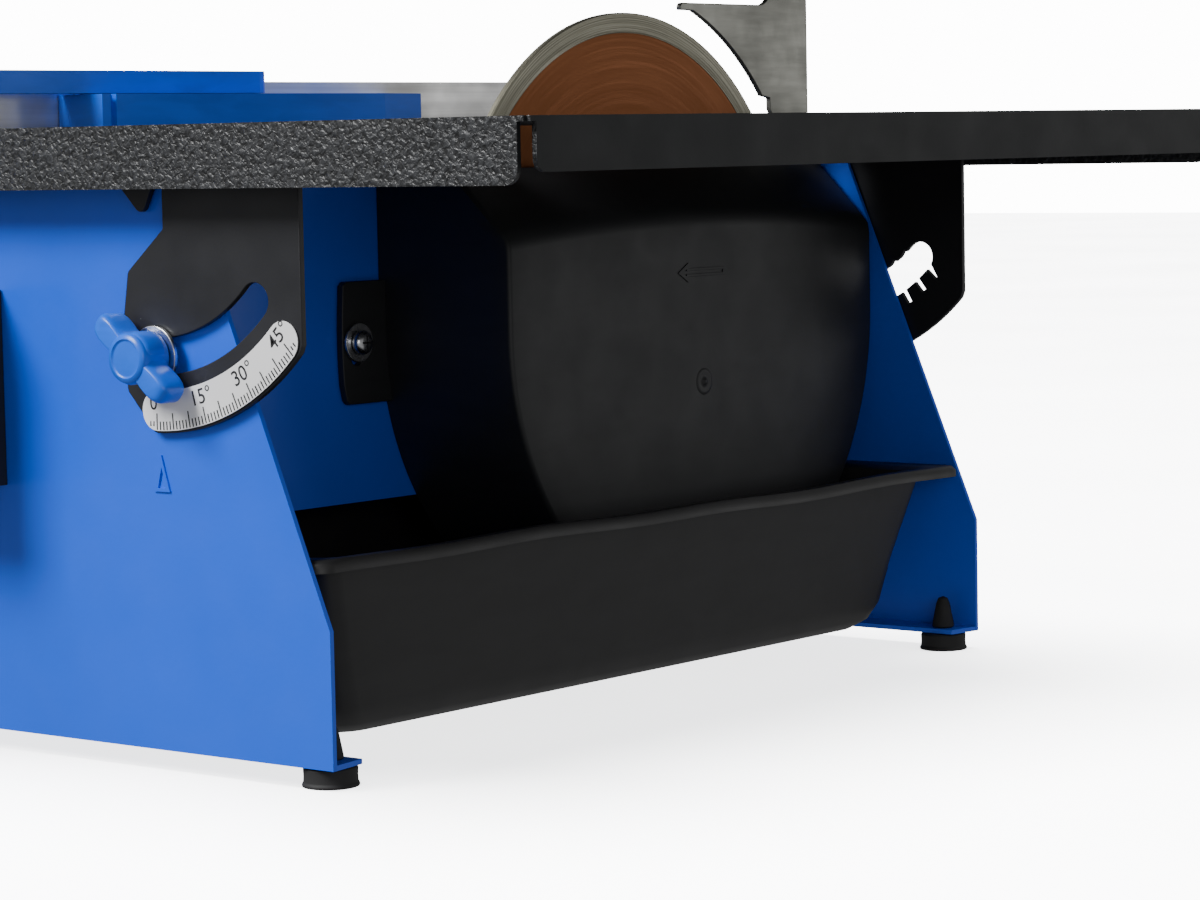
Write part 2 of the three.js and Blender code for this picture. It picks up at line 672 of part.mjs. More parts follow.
const HOOD_WALL = 2.2;
const HOOD_HALF = 11;
const HOOD_NOSE = 122;
const HOOD_LOW = 234;
const HOOD_HIGH = 272;

function bladeHood() {
  const profile = (inset) => [
    [HOOD_NOSE + inset, HOOD_LOW - (inset ? 1 : 0)],
    [HOOD_Y + 14 + (inset ? 1 : 0), HOOD_LOW - (inset ? 1 : 0)],
    [HOOD_Y + 14 + (inset ? 1 : 0), HOOD_HIGH - inset],
    ...arc([HOOD_NOSE + 34, HOOD_HIGH - 34], 34 - inset, 90, 160, 8),
  ];
  const outer = solid(plateYZ(profile(0), [-HOOD_HALF, HOOD_HALF]));
  const inner = solid(plateYZ(profile(HOOD_WALL), [-HOOD_HALF + HOOD_WALL, HOOD_HALF - HOOD_WALL]));
  const boltHole = rod(BOLT_HOLE, -HOOD_HALF - 1, HOOD_HALF + 1, 'x', HOOD_PIVOT);
  return cut(outer, inner, boltHole).translate([BLADE_X, 0, 0]);
}

/** A wing knob in its own frame: the hub's axis is Z, the seat is at z = 0 and the end is closed. */
function wingKnob(length, reach) {
  const lobe = (reach - 3) * 0.42;
  const middle = reach - lobe;
  const profile = [[3.3, 0], [7.4, 0], [7.8, 0.6], [7.8, length - 2], [6, length - 0.3], [0, length]];
  profile.push([0, length - 3], [3.3, length - 3], [3.3, 0]);
  const hub = turned(profile, 'z', [0, 0], 16);
  const wings = [-1, 1].map((side) => {
    const round = rod(lobe, 1.2, length - 1, 'z', [side * middle, 0], 12);
    const web = box(side < 0 ? [-middle, -5] : [5, middle], [-3.4, 3.4], [1.2, length - 1]);
    return join(round, web);
  });
  return cut(join(hub, ...wings), rod(3.3, -1, length - 3, 'z', [0, 0]));
}

/** A bolt in the same frame as its knob: a thin head below the seat and a plain shank. */
function clampBolt(headSeat, shankTop) {
  const profile = [[0, headSeat - 1.2], [6.5, headSeat - 1.2], [6.5, headSeat], [3, headSeat]];
  return turned([...profile, [3, shankTop], [0, shankTop]], 'z', [0, 0], 16);
}

add('riving_knife', rivingKnife(), darkSteel);
add('knife_bracket', knifeBracket(), steel);
KNIFE_SCREWS.forEach((centre, i) => {
  add(`knife_screw_${i + 1}`, screwX(KNIFE_FACES[1] + GAP, 3.6, 1.8, WALL_LEFT - 3, centre), steel);
});
add('blade_hood', bladeHood(), blackPlastic);

const toHood = (body, x) => body.rotate([0, 90, 0]).translate([BLADE_X + x, HOOD_Y, HOOD_Z]);
add('hood_bolt', toHood(clampBolt(-HOOD_HALF - GAP, HOOD_HALF + 9), 0), steel);
add('hood_knob', toHood(wingKnob(13, 15), HOOD_HALF + GAP), bluePlastic);

// ---------------------------------------------------------------- tilting table and its sectors

const TABLE_UNDER = TABLE_TOP - SHEET;
const BLADE_SLOT = { x: [-21, 2], y: [136, 329] };
const CORNER_GAP = 3.6; // relief between two flanges at a corner

/** A flange outline with rounded lower corners, along u from a to b and down from the table. */
function flangeOutline(a, b, depth, round) {
  const low = TABLE_TOP - depth;
  return [
    [a, TABLE_TOP - 1],
    ...arc([a + round, low + round], round, 180, 270, 5),
    ...arc([b - round, low + round], round, 270, 360, 5),
    [b, TABLE_TOP - 1],
  ];
}

function tableTop() {
  const top = box([TABLE_LEFT, TABLE_RIGHT], [TABLE_FRONT, TABLE_BACK], [TABLE_UNDER, TABLE_TOP]);
  const endOutline = flangeOutline(TABLE_LEFT + CORNER_GAP, TABLE_RIGHT - CORNER_GAP, END_FLANGE, 4.5);
  const sideOutline = flangeOutline(TABLE_FRONT + CORNER_GAP, TABLE_BACK - CORNER_GAP, SIDE_FLANGE, 3.5);
  const flanges = [
    solid(plateXZ(endOutline, [TABLE_FRONT, TABLE_FRONT + SHEET])),
    solid(plateXZ(endOutline, [TABLE_BACK - SHEET, TABLE_BACK])),
    solid(plateYZ(sideOutline, [TABLE_LEFT, TABLE_LEFT + SHEET])),
    solid(plateYZ(sideOutline, [TABLE_RIGHT - SHEET, TABLE_RIGHT])),
  ];
  const corners = [];
  for (const x of [TABLE_LEFT, TABLE_RIGHT]) {
    for (const y of [TABLE_FRONT, TABLE_BACK]) {
      corners.push(box([x - 1.3, x + 1.3], [y - 1.3, y + 1.3], [TABLE_TOP - 5, TABLE_TOP + 1]));
    }
  }
  const slot = box(BLADE_SLOT.x, BLADE_SLOT.y, [TABLE_UNDER - 1, TABLE_TOP + 1]);
  return cut(join(top, ...flanges), slot, ...corners);
}

const SECTOR_FACES = [-2.5, -0.5]; // front and back faces of the front sector
const SECTOR_RIGHT = 56.7;
const PIVOT = [0, PIVOT_Z];

/** Outline of an arc slot with full-round ends; angles are measured from straight down. */
function arcSlot(radius, half, from, to, steps) {
  const down = -90;
  const ends = [from, to].map((angle) => polar(PIVOT, radius, down + angle));
  return [
    ...arc(PIVOT, radius + half, down + from, down + to, steps),
    ...arc(ends[1], half, down + to, down + to + 180, 8).slice(1, -1),
    ...arc(PIVOT, radius - half, down + to, down + from, steps),
    ...arc(ends[0], half, down + from + 180, down + from + 360, 8).slice(1, -1),
  ];
}

function sectorBlank() {
  const cornerAngle = THREE.MathUtils.radToDeg(Math.asin(SECTOR_RIGHT / SECTOR_RADIUS));
  const points = [
    [3.7, TABLE_UNDER - GAP],
    [3.7, 156.1],
    [-10.9, 143.8],
    [-13.4, 129],
    [-12.2, 109.8],
    ...arc(PIVOT, SECTOR_RADIUS, -91, -90 + cornerAngle, 14),
    [SECTOR_RIGHT, TABLE_UNDER - GAP],
  ];
  const ear = [
    [-13.5, TABLE_UNDER - GAP],
    [-12.8, 167.3],
    [-5.5, 160.9],
    [-3.2, 161.8],
    [-0.8, 167],
    [-0.3, 170.2],
    [0.6, 170.8],
    [8, 170.8],
    [8, TABLE_UNDER - GAP],
  ];
  const plates = [points, ear].map((shape) => solid(plateXZ(shape, SECTOR_FACES)));
  const flange = box([-9, SECTOR_RIGHT], [-13, SECTOR_FACES[1]], [TABLE_UNDER - GAP - SHEET, TABLE_UNDER - GAP]);
  const pivotHole = rod(BOLT_HOLE, -4, 1, 'y', PIVOT);
  return cut(join(...plates, flange), pivotHole);
}

function frontSector() {
  const slot = solid(plateXZ(arcSlot(SLOT_RADIUS, SLOT_HALF, 0, TILT_MAX, 14), [-4, 1]));
  return cut(sectorBlank(), slot);
}

const DETENTS = 7; // steps between 0 and 45 degrees
const DETENT_RADIUS = 65;

/** The rear sector's slot has square notches below and saw teeth above, one pair per detent. */
function rearSector() {
  const slot = solid(plateXZ(arcSlot(SLOT_RADIUS, SLOT_HALF, 0, TILT_MAX, 14), [-4, 1]));
  const notches = [];
  for (let i = 0; i <= DETENTS; i++) {
    const angle = (TILT_MAX * i) / DETENTS;
    const square = box([-1.4, 1.4], [-4, 1], [-DETENT_RADIUS, -SLOT_RADIUS]);
    const inner = SLOT_RADIUS - SLOT_HALF;
    const tooth = solid(plateXZ([[-3.6, -inner - 1], [1.5, -inner - 1], [1.5, -inner + 2]], [-4, 1]));
    for (const shape of [square, tooth]) {
      notches.push(shape.rotate([0, -angle, 0]).translate([0, 0, PIVOT_Z]));
    }
  }
  return mirrorToBack(cut(sectorBlank(), slot, ...notches));
}

const LABEL = { radius: 70.55, half: 5.75 };

function scaleLabel() {
  const film = arcSlot(LABEL.radius, LABEL.half, 0, TILT_MAX, 18);
  const front = SECTOR_FACES[0] - GAP;
  return solid(plateXZ(film, [front - 0.3, front]));
}

/** Rivet that carries a sector: a head outside it and a formed end inside the panel. */
function pivotRivet() {
  const outside = SECTOR_FACES[0] - GAP;
  const inside = SHEET + GAP;
  const profile = [[0, outside - 1.8], [4, outside - 1.8], [5.5, outside - 0.8], [5.5, outside], [3, outside]];
  profile.push([3, inside], [3.8, inside], [3.8, inside + 1.2], [2.8, inside + 2], [0, inside + 2]);
  return turned(profile, 'y', PIVOT, 12);
}

add('table_top', tableTop(), blackPaint, tilt);
add('front_sector', frontSector(), blackPaint, tilt);
add('rear_sector', rearSector(), blackPaint, tilt);
add('scale_label', scaleLabel(), labelFilm, tilt);
add('pivot_rivet_front', pivotRivet(), darkSteel);
add('pivot_rivet_rear', mirrorToBack(pivotRivet()), darkSteel);

// ---------------------------------------------------------------- tilt clamps, front and rear

const CLAMP_WASHER = { radius: 8.8, thickness: 1.3 };
const WING_ANGLE = 40; // how far the knob's wings hang from level
const seat = SECTOR_FACES[0] - GAP; // y of the washer's back face
const knobSeat = seat - CLAMP_WASHER.thickness - GAP;

/** Stands a piece with its axis on Z against the front, so that its free end points at the operator. */
function toFront(body, y) {
  return body.rotate([90, 0, 0]).translate([0, y, CLAMP_Z]);
}

const clampPieces = [
  ['bolt', toFront(clampBolt(knobSeat - SHEET - GAP, 7.6), knobSeat), steel],
  ['washer', ring(3.3, CLAMP_WASHER.radius, seat - CLAMP_WASHER.thickness, seat, 'y', [0, CLAMP_Z], 32), steel],
  ['knob', toFront(wingKnob(11, 17).rotate([0, 0, -WING_ANGLE]), knobSeat), bluePlastic],
];
for (const [name, body, look] of clampPieces) {
  add(`front_clamp_${name}`, body, look);
  add(`rear_clamp_${name}`, mirrorToBack(body), look);
}

// ---------------------------------------------------------------- rip fence with its two clamps

const TABLE_CLEAR = TABLE_TOP + GAP;

function fenceBar() {
  const bar = box(FENCE_X, [TABLE_FRONT - 12, TABLE_BACK + 12], [TABLE_CLEAR, FENCE_TOP]);
  const groove = box([FENCE_X[0] + 3.5, FENCE_X[1] - 3.5], [TABLE_FRONT - 13, TABLE_BACK + 13], [195, 198.8]);
  const mouth = box([FENCE_X[0] + 4.5, FENCE_X[1] - 4.5], [TABLE_FRONT - 13, TABLE_BACK + 13], [198, 203]);
  return cut(bar, groove, mouth);
}

/** End block that hooks over the table's front flange; the bar is screwed down on it. */
function fenceBlock() {
  const [left, right] = [FENCE_X[0] - 4, FENCE_X[1] + 4];
  const front = TABLE_FRONT - 13;
  const body = box([left, right], [front, TABLE_FRONT - GAP], [160, TABLE_CLEAR - 0.6]);
  return cut(body, rod(BOLT_HOLE, front - 1, TABLE_FRONT + 1, 'y', [(left + right) / 2, 172]));
}

const FENCE_MIDDLE = (FENCE_X[0] + FENCE_X[1]) / 2;
const BLOCK_FRONT = TABLE_FRONT - 13;

/** Wing knob with its screw moulded in; the screw's tip presses on the table's flange. */
function fenceKnob() {
  const tip = BLOCK_FRONT - TABLE_FRONT;
  const screw = rod(3, tip, 9, 'z', [0, 0], 16);
  const knob = join(wingKnob(11, 14), screw).rotate([90, 0, 0]);
  return knob.translate([FENCE_MIDDLE, BLOCK_FRONT - GAP, 172]);
}

/** Mirrors a body between the table's front edge and its rear edge. */
function mirrorOnTable(body) {
  return body.mirror([0, 1, 0]).translate([0, TABLE_FRONT + TABLE_BACK, 0]);
}

add('fence_bar', fenceBar(), aluminium, tilt);
for (const [name, body, look] of [['block', fenceBlock(), bluePlastic], ['knob', fenceKnob(), bluePlastic]]) {
  add(`fence_${name}_front`, body, look, tilt);
  add(`fence_${name}_rear`, mirrorOnTable(body), look, tilt);
}

// ---------------------------------------------------------------- angle stop that rides on the fence

const STOP_LOW = TABLE_CLEAR + 0.2;
const STOP_HIGH = 196.4; // top of the low base
const ARM_TOP = 204;
const NUT_SEAT = 200.4; // the nut is sunk in the arm, below its top
const STOP_X = STOP_PIVOT[0];

function stopBase() {
  const footprint = [[-166, 75], [-100.6, 75], [-100.6, 78.5], [-102.4, 78.5], [-102.4, 80.6]];
  footprint.push([-100, 80.6], [-100, 208], [-105.5, 233], [-152, 233], [-166, 205]);
  const base = solid(plateXY(footprint, [STOP_LOW, STOP_HIGH]));
  const channel = box([FENCE_X[0] - GAP, FENCE_X[1] + GAP], [70, 240], [STOP_LOW - 1, FENCE_TOP + GAP]);
  const bridges = [[82, 98], [138, 150]].map(([y0, y1]) => {
    return box([FENCE_X[0] - 5, FENCE_X[1] + 1.8], [y0, y1], [STOP_LOW, FENCE_TOP + 2.6]);
  });
  const stud = rod(3, STOP_HIGH - 2, ARM_TOP - 0.6, 'z', STOP_PIVOT, 16);
  return join(cut(join(base, ...bridges), channel), stud);
}

/** Arm that turns on the base's stud; its rounded tail stays clear of the fence. */
function stopArm() {
  const half = 5.8;
  const footprint = [[STOP_X - half, 25], [STOP_X + half, 25], ...arc(STOP_PIVOT, half, 0, 180, 8)];
  const upper = solid(plateXY(footprint, [STOP_HIGH + GAP, ARM_TOP]));
  const hole = rod(BOLT_HOLE, STOP_HIGH, ARM_TOP + 1, 'z', STOP_PIVOT);
  return cut(upper, hole, rod(4.8, NUT_SEAT, ARM_TOP + 1, 'z', STOP_PIVOT));
}

add('angle_stop_base', stopBase(), bluePlastic, tilt);
add('angle_stop_arm', stopArm(), bluePlastic, tilt);
add('angle_stop_nut', ring(BOLT_HOLE, 4.4, NUT_SEAT + GAP, ARM_TOP - GAP, 'z', STOP_PIVOT, 18), blackPlastic, tilt);

// ---------------------------------------------------------------- switch and cable inlet

const SWITCH = { x: [-110, -67], z: [80, 138], depth: 30, wall: 2 };
const BUTTONS = [['start_button', 120], ['stop_button', 97]];
const BUTTON = { x: -88.5, half: [9, 8.5], travel: 3 };

function switchBox() {
  const { x, z, depth, wall } = SWITCH;
  const outer = box(x, [-depth, -GAP], z);
  const inner = box([x[0] + wall, x[1] - wall], [-depth + wall, 0], [z[0] + wall, z[1] - wall]);
  const windows = BUTTONS.map(([, height]) => {
    const [halfX, halfZ] = BUTTON.half.map((half) => half + 0.4);
    return box([BUTTON.x - halfX, BUTTON.x + halfX], [-depth - 1, -depth + wall + 1], [height - halfZ, height + halfZ]);
  });
  return cut(outer, inner, ...windows);
}

/** A push button: its cap stands in the window and its wider skirt keeps it inside the box. */
function pushButton(height) {
  const [halfX, halfZ] = BUTTON.half;
  const front = -SWITCH.depth;
  const cap = box([BUTTON.x - halfX, BUTTON.x + halfX], [front - 3.5, front + 8], [height - halfZ, height + halfZ]);
  const skirt = box([BUTTON.x - halfX - 2, BUTTON.x + halfX + 2], [front + 2.6, front + 4.4], [height - halfZ - 1.5, height + halfZ + 1.5]);
  return join(cap, skirt);
}

function cableGland() {
  const outside = BASE_DEPTH + GAP;
  const inside = BASE_DEPTH - SHEET - GAP;
  const profile = [[4, outside + 11], [7, outside + 11], [8.5, outside + 5], [11.5, outside + 4.5]];
  profile.push([11.5, outside], [GLAND.hole, outside], [GLAND.hole, inside], [10.5, inside]);
  profile.push([10.5, inside - 4], [4, inside - 4], [4, outside + 11]);
  return turned(profile, 'y', [GLAND.x, GLAND.z], 16);
}

add('switch_box', switchBox(), blackPlastic);
for (const [name, height] of BUTTONS) {
  add(name, pushButton(height), () => material(name === 'start_button' ? 0x1d9a48 : 0xc92222, 0.4, 0));
}
add('cable_gland', cableGland(), blackPlastic);

// ---------------------------------------------------------------- origin at the bottom centre

group.add(tilt);
const bounds = new THREE.Box3().setFromObject(group);
const middle = bounds.getCenter(new THREE.Vector3());
group.position.set(-middle.x, -middle.y, -bounds.min.z);

export default group;
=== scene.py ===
import json
import math

import bmesh
import bpy
from mathutils import Matrix, Vector

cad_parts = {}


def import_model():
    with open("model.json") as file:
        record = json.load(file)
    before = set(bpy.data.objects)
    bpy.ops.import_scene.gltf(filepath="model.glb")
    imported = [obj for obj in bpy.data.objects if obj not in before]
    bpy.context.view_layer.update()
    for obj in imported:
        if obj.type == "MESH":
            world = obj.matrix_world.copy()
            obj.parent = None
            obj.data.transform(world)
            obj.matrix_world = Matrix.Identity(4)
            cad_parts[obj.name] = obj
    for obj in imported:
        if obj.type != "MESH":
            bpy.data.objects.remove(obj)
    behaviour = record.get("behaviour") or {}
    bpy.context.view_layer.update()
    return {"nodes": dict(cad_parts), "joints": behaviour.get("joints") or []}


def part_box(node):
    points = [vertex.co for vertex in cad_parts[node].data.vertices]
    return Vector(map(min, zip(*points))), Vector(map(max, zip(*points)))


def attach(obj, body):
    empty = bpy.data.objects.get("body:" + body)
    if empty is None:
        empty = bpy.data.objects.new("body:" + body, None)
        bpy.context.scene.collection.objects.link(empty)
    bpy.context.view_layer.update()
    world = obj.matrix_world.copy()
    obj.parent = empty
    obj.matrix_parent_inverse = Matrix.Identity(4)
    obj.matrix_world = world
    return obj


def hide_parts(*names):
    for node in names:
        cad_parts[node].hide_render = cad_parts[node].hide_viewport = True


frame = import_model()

# Shapes below are in millimetres: x to the operator's right of the tilt axis, y back from the
# front panel's outer face, z up from the floor.
JOINTS = {joint["name"]: joint for joint in frame["joints"]}
PIVOT = Vector(JOINTS["table_tilt"]["pos_m"])
ZERO = Vector((PIVOT.x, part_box("rear_panel")[1].y - 0.330, 0.0))


def mm(x, y, z):
    """A point given in these millimetres, in metres of the shared frame."""
    return ZERO + Vector((x, y, z)) * 0.001


# ---------------------------------------------------------------- materials


class Shader:
    """A Principled material with helpers for procedural detail in object coordinates."""

    def __init__(self, name, color, roughness, metallic=0.0, coat=0.0):
        self.material = bpy.data.materials.new(name)
        self.material.use_nodes = True
        self.tree = self.material.node_tree
        self.surface = self.tree.nodes["Principled BSDF"]
        self.surface.inputs["Base Color"].default_value = (*color, 1)
        self.surface.inputs["Roughness"].default_value = roughness
        self.surface.inputs["Metallic"].default_value = metallic
        self.surface.inputs["Coat Weight"].default_value = coat
        self.surface.inputs["Coat Roughness"].default_value = 0.15
        self.coordinates = self.tree.nodes.new("ShaderNodeTexCoord").outputs["Object"]
        self.normal = None

    def node(self, kind, inputs=None, **settings):
        made = self.tree.nodes.new("ShaderNode" + kind)
        for key, value in settings.items():
            setattr(made, key, value)
        for key, value in (inputs or {}).items():
            if isinstance(value, bpy.types.NodeSocket):
                self.tree.links.new(value, made.inputs[key])
            else:
                made.inputs[key].default_value = value
        return made

    def noise(self, scale, detail=3.0, stretch=(1, 1, 1), distortion=0.0):
        mapping = self.node("Mapping", {"Vector": self.coordinates, "Scale": stretch})
        inputs = {"Vector": mapping.outputs[0], "Scale": scale, "Detail": detail, "Distortion": distortion}
        return self.node("TexNoise", inputs).outputs["Fac"]

    def cells(self, scale):
        """Distance to the nearest of many scattered points."""
        return self.node("TexVoronoi", {"Vector": self.coordinates, "Scale": scale}).outputs["Distance"]

    def ramp(self, factor, stops):
        made = self.node("ValToRGB", {"Fac": factor})
        elements = made.color_ramp.elements
        elements[0].position, elements[0].color = stops[0][0], (*stops[0][1], 1)
        elements[1].position, elements[1].color = stops[-1][0], (*stops[-1][1], 1)
        for position, color in stops[1:-1]:
            elements.new(position).color = (*color, 1)
        return made.outputs["Color"]

    def spread(self, factor, low, high, start=0.3, end=0.7):
        inputs = {"Value": factor, "From Min": start, "From Max": end, "To Min": low, "To Max": high}
        return self.node("MapRange", inputs).outputs["Result"]

    def color(self, output):
        self.tree.links.new(output, self.surface.inputs["Base Color"])

    def roughness(self, output):
        self.tree.links.new(output, self.surface.inputs["Roughness"])

    def bump(self, height, strength, distance):
        inputs = {"Height": height, "Strength": strength, "Distance": distance * 0.001}
        made = self.node("Bump", inputs)
        if self.normal:
            self.tree.links.new(self.normal, made.inputs["Normal"])
        self.normal = made.outputs["Normal"]
        self.tree.links.new(self.normal, self.surface.inputs["Normal"])


def tint(color, factor):
    return tuple(min(1.0, channel * factor) for channel in color)


def painted(name, color, roughness, grain, strength):
    """Powder coat: orange peel, faint tone changes and uneven gloss."""
    shader = Shader(name, color, roughness, coat=0.15)
    wide = shader.noise(14, 4)
    shader.color(shader.ramp(wide, [(0.3, tint(color, 0.93)), (0.7, tint(color, 1.06))]))
    shader.roughness(shader.spread(shader.noise(60, 5), roughness - 0.06, roughness + 0.08))
    shader.bump(shader.noise(grain, 2), strength, 0.12)
    return shader.material


def dusty(name, color, roughness):
    """Satin black paint with sparse specks of pale tile dust."""
    shader = Shader(name, color, roughness)
    speck = (0.3, 0.3, 0.29)
    stops = [(0.0, speck), (0.016, speck), (0.026, color), (1.0, tint(color, 1.2))]
    shader.color(shader.ramp(shader.cells(75), stops))
    shader.roughness(shader.spread(shader.noise(50, 5), roughness - 0.06, roughness + 0.1))
    shader.bump(shader.noise(900, 3), 0.25, 0.08)
    return shader.material


def moulded(name, color, roughness, grain=1500, strength=0.25):
    """Moulded plastic: fine spark-eroded grain, scuffs and a slightly uneven tone."""
    shader = Shader(name, color, roughness)
    scuff = shader.noise(35, 8, stretch=(1, 1, 4), distortion=0.6)
    shader.color(shader.ramp(scuff, [(0.35, tint(color, 0.9)), (0.7, tint(color, 1.12))]))
    shader.roughness(shader.spread(shader.noise(60, 8, distortion=0.4), roughness - 0.03, roughness + 0.04))
    shader.bump(shader.noise(grain, 3), strength, 0.06)
    return shader.material


def leather(name, color, roughness):
    """Heavy wrinkle paint: irregular ridges a millimetre or two across, with painted shade in the pits and
    painted highlights on the ridges.
    """
    shader = Shader(name, color, roughness)
    wrinkle = shader.noise(640, 2, distortion=0.5)
    # Colour follows the wrinkle height: pits darkened as painted shade, ridges lightened as painted
    # highlight.
    shader.color(shader.ramp(wrinkle, [(0.38, tint(color, 0.3)), (0.6, tint(color, 1.5))]))
    shader.roughness(shader.spread(shader.noise(900, 3), roughness - 0.05, roughness + 0.14))
    shader.bump(wrinkle, 1.0, 0.9)
    shader.bump(shader.noise(2600, 2), 0.3, 0.08)
    return shader.material


def brushed(name, color, roughness, stretch, scale):
    """Bare metal with a brushed grain along one direction and a few smudges."""
    shader = Shader(name, color, roughness, metallic=1.0)
    grain = shader.noise(scale, 6, stretch=stretch)
    shader.color(shader.ramp(grain, [(0.3, tint(color, 0.82)), (0.7, tint(color, 1.1))]))
    shader.roughness(shader.spread(shader.noise(45, 5), roughness - 0.08, roughness + 0.12))
    shader.bump(grain, 0.25, 0.03)
    return shader.material


def cast(name, color, roughness):
    """Cast aluminium: sandy skin with shallow pits."""
    shader = Shader(name, color, roughness, metallic=1.0)
    skin = shader.noise(700, 6)
    shader.color(shader.ramp(shader.noise(30, 6), [(0.3, tint(color, 0.8)), (0.7, tint(color, 1.05))]))
    shader.roughness(shader.spread(skin, roughness - 0.08, roughness + 0.12))
    shader.bump(skin, 0.5, 0.12)
    return shader.material


def polar(shader, centre):
    """Distance from an axis along X through the centre, in metres, and the turn about it."""

    def math_node(operation, first, second):
        return shader.node("Math", {0: first, 1: second}, operation=operation).outputs[0]

    split = shader.node("SeparateXYZ", {"Vector": shader.coordinates})
    across = [math_node("SUBTRACT", split.outputs[i], centre[i]) for i in (1, 2)]
    squares = [math_node("POWER", value, 2.0) for value in across]
    radius = math_node("POWER", math_node("ADD", *squares), 0.5)
    return radius, math_node("ARCTAN2", across[1], across[0])


def turned_grain(name, color, roughness, centre, streaks, ramp=None, strength=0.5):
    """Marks that run round an axis along X, as on a ground disc."""
    shader = Shader(name, color, roughness, metallic=0.85)
    radius, turn = polar(shader, centre)
    place = shader.node("CombineXYZ", {"X": radius, "Y": turn})
    mapping = shader.node("Mapping", {"Vector": place.outputs[0], "Scale": (streaks, 1.6, 1)})
    noise = shader.node("TexNoise", {"Vector": mapping.outputs[0], "Scale": 1.0, "Detail": 9.0})
    stops = ramp or [(0.35, tint(color, 0.75)), (0.65, tint(color, 1.2))]
    shader.color(shader.ramp(noise.outputs["Fac"], stops))
    shader.roughness(shader.spread(noise.outputs["Fac"], roughness - 0.1, roughness + 0.12))
    shader.bump(noise.outputs["Fac"], strength, 0.08)
    shader.bump(shader.noise(1800, 4), 0.2, 0.05)
    return shader.material


BLADE_AXIS = Vector(JOINTS["blade_spin"]["pos_m"])

blue_paint = painted("blue_paint", (0.003, 0.1, 0.78), 0.38, 480, 0.3)
blue_plastic = moulded("blue_plastic", (0.004, 0.13, 0.8), 0.34, 1300, 0.18)
black_paint = painted("black_paint", (0.009, 0.0095, 0.011), 0.42, 700, 0.3)
# A darker, duller copy of the table's black for its flanges that face the sides: painted shade, not a
# different paint.
shaded_side_black = moulded("shaded_side_black", (0.007, 0.008, 0.009), 0.5, 900, 0.35)
shaded_side_black.node_tree.nodes["Principled BSDF"].inputs["Specular IOR Level"].default_value = 0.3
dusty_black = dusty("dusty_black", (0.009, 0.0095, 0.012), 0.45)
black_leather = leather("black_leather", (0.02, 0.021, 0.023), 0.4)
black_plastic = moulded("black_plastic", (0.016, 0.017, 0.019), 0.5)
tray_plastic = moulded("tray_plastic", (0.014, 0.014, 0.015), 0.46, 500, 0.2)
foot_rubber = moulded("foot_rubber", (0.012, 0.012, 0.013), 0.7, 800, 0.5)
zinc = brushed("zinc_plate", (0.62, 0.63, 0.65), 0.28, (1, 1, 1), 300)
knife_steel = brushed("knife_steel", (0.30, 0.30, 0.27), 0.42, (1, 0.12, 1), 400)
dark_steel = brushed("dark_steel", (0.2, 0.2, 0.21), 0.4, (1, 1, 1), 200)
extruded = brushed("extruded_aluminium", (0.8, 0.8, 0.79), 0.42, (1, 0.02, 1), 500)
cast_metal = cast("cast_aluminium", (0.55, 0.56, 0.58), 0.45)
steel_turned = turned_grain("turned_steel", (0.55, 0.56, 0.58), 0.3, BLADE_AXIS, 4000)
copper_core = turned_grain(
    "blade_core",
    (0.36, 0.15, 0.065),
    0.5,
    BLADE_AXIS,
    900,
    [(0.3, (0.24, 0.085, 0.03)), (0.7, (0.32, 0.12, 0.045))],
    0.12,
)
diamond_rim = turned_grain(
    "diamond_rim",
    (0.3, 0.3, 0.24),
    0.42,
    BLADE_AXIS,
    2600,
    [(0.34, (0.09, 0.085, 0.06)), (0.5, (0.27, 0.26, 0.2)), (0.68, (0.6, 0.58, 0.48))],
    0.9,
)
green_cap = moulded("green_cap", (0.02, 0.28, 0.08), 0.3)
red_cap = moulded("red_cap", (0.55, 0.02, 0.02), 0.3)
film = painted("dial_film", (0.8, 0.8, 0.81), 0.4, 1400, 0.05)
# Black print for the dial, also used as painted shade in the screw recesses.
ink_and_recess_shade = painted("dial_ink_and_recess_shade", (0.01, 0.01, 0.012), 0.5, 1400, 0.05)

# ---------------------------------------------------------------- mesh helpers


def new_object(name, points, faces):
    mesh = bpy.data.meshes.new(name)
    mesh.from_pydata([tuple(point) for point in points], [], faces)
    made = bpy.data.objects.new(name, mesh)
    bpy.context.scene.collection.objects.link(made)
    return made


def tidy(thing):
    """Welds seams and turns every face outwards."""
    work = bmesh.new()
    work.from_mesh(thing.data)
    bmesh.ops.remove_doubles(work, verts=work.verts, dist=1e-6)
    bmesh.ops.dissolve_degenerate(work, dist=1e-7, edges=work.edges)
    bmesh.ops.recalc_face_normals(work, faces=work.faces)
    work.to_mesh(thing.data)
    work.free()
    return thing


def soften(thing, width, segments=2, angle=32):
    """Rounds the sharp edges and shades the rest smoothly."""
    bevel = thing.modifiers.new("edges", "BEVEL")
    bevel.width = width * 0.001
    bevel.segments = segments
    bevel.limit_method = "ANGLE"
    bevel.angle_limit = math.radians(angle)
    return flatten(smooth(thing, angle))


def flatten(thing):
    """Keeps large flat faces flat next to their rounded edges."""
    normals = thing.modifiers.new("normals", "WEIGHTED_NORMAL")
    normals.keep_sharp = True
    return thing


def smooth(thing, angle=32):
    """Smooth shading that stops at edges sharper than the angle."""
    mesh = thing.data
    mesh.shade_smooth()
    work = bmesh.new()
    work.from_mesh(mesh)
    for edge in work.edges:
        sharp = len(edge.link_faces) != 2 or edge.calc_face_angle(0) > math.radians(angle)
        edge.smooth = not sharp
    work.to_mesh(mesh)
    work.free()
    return thing


def mount(thing, body, material, slot, *nodes):
    """Gives a piece its material and its body and hides the CAD nodes it stands for; slot is not used."""
    thing.data.materials.clear()
    thing.data.materials.append(material)
    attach(thing, body)
    if nodes:
        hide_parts(*nodes)
    return thing


AXES = {
    "x": lambda u, v, w: (w, u, v),
    "y": lambda u, v, w: (u, w, v),
    "z": lambda u, v, w: (u, v, w),
}


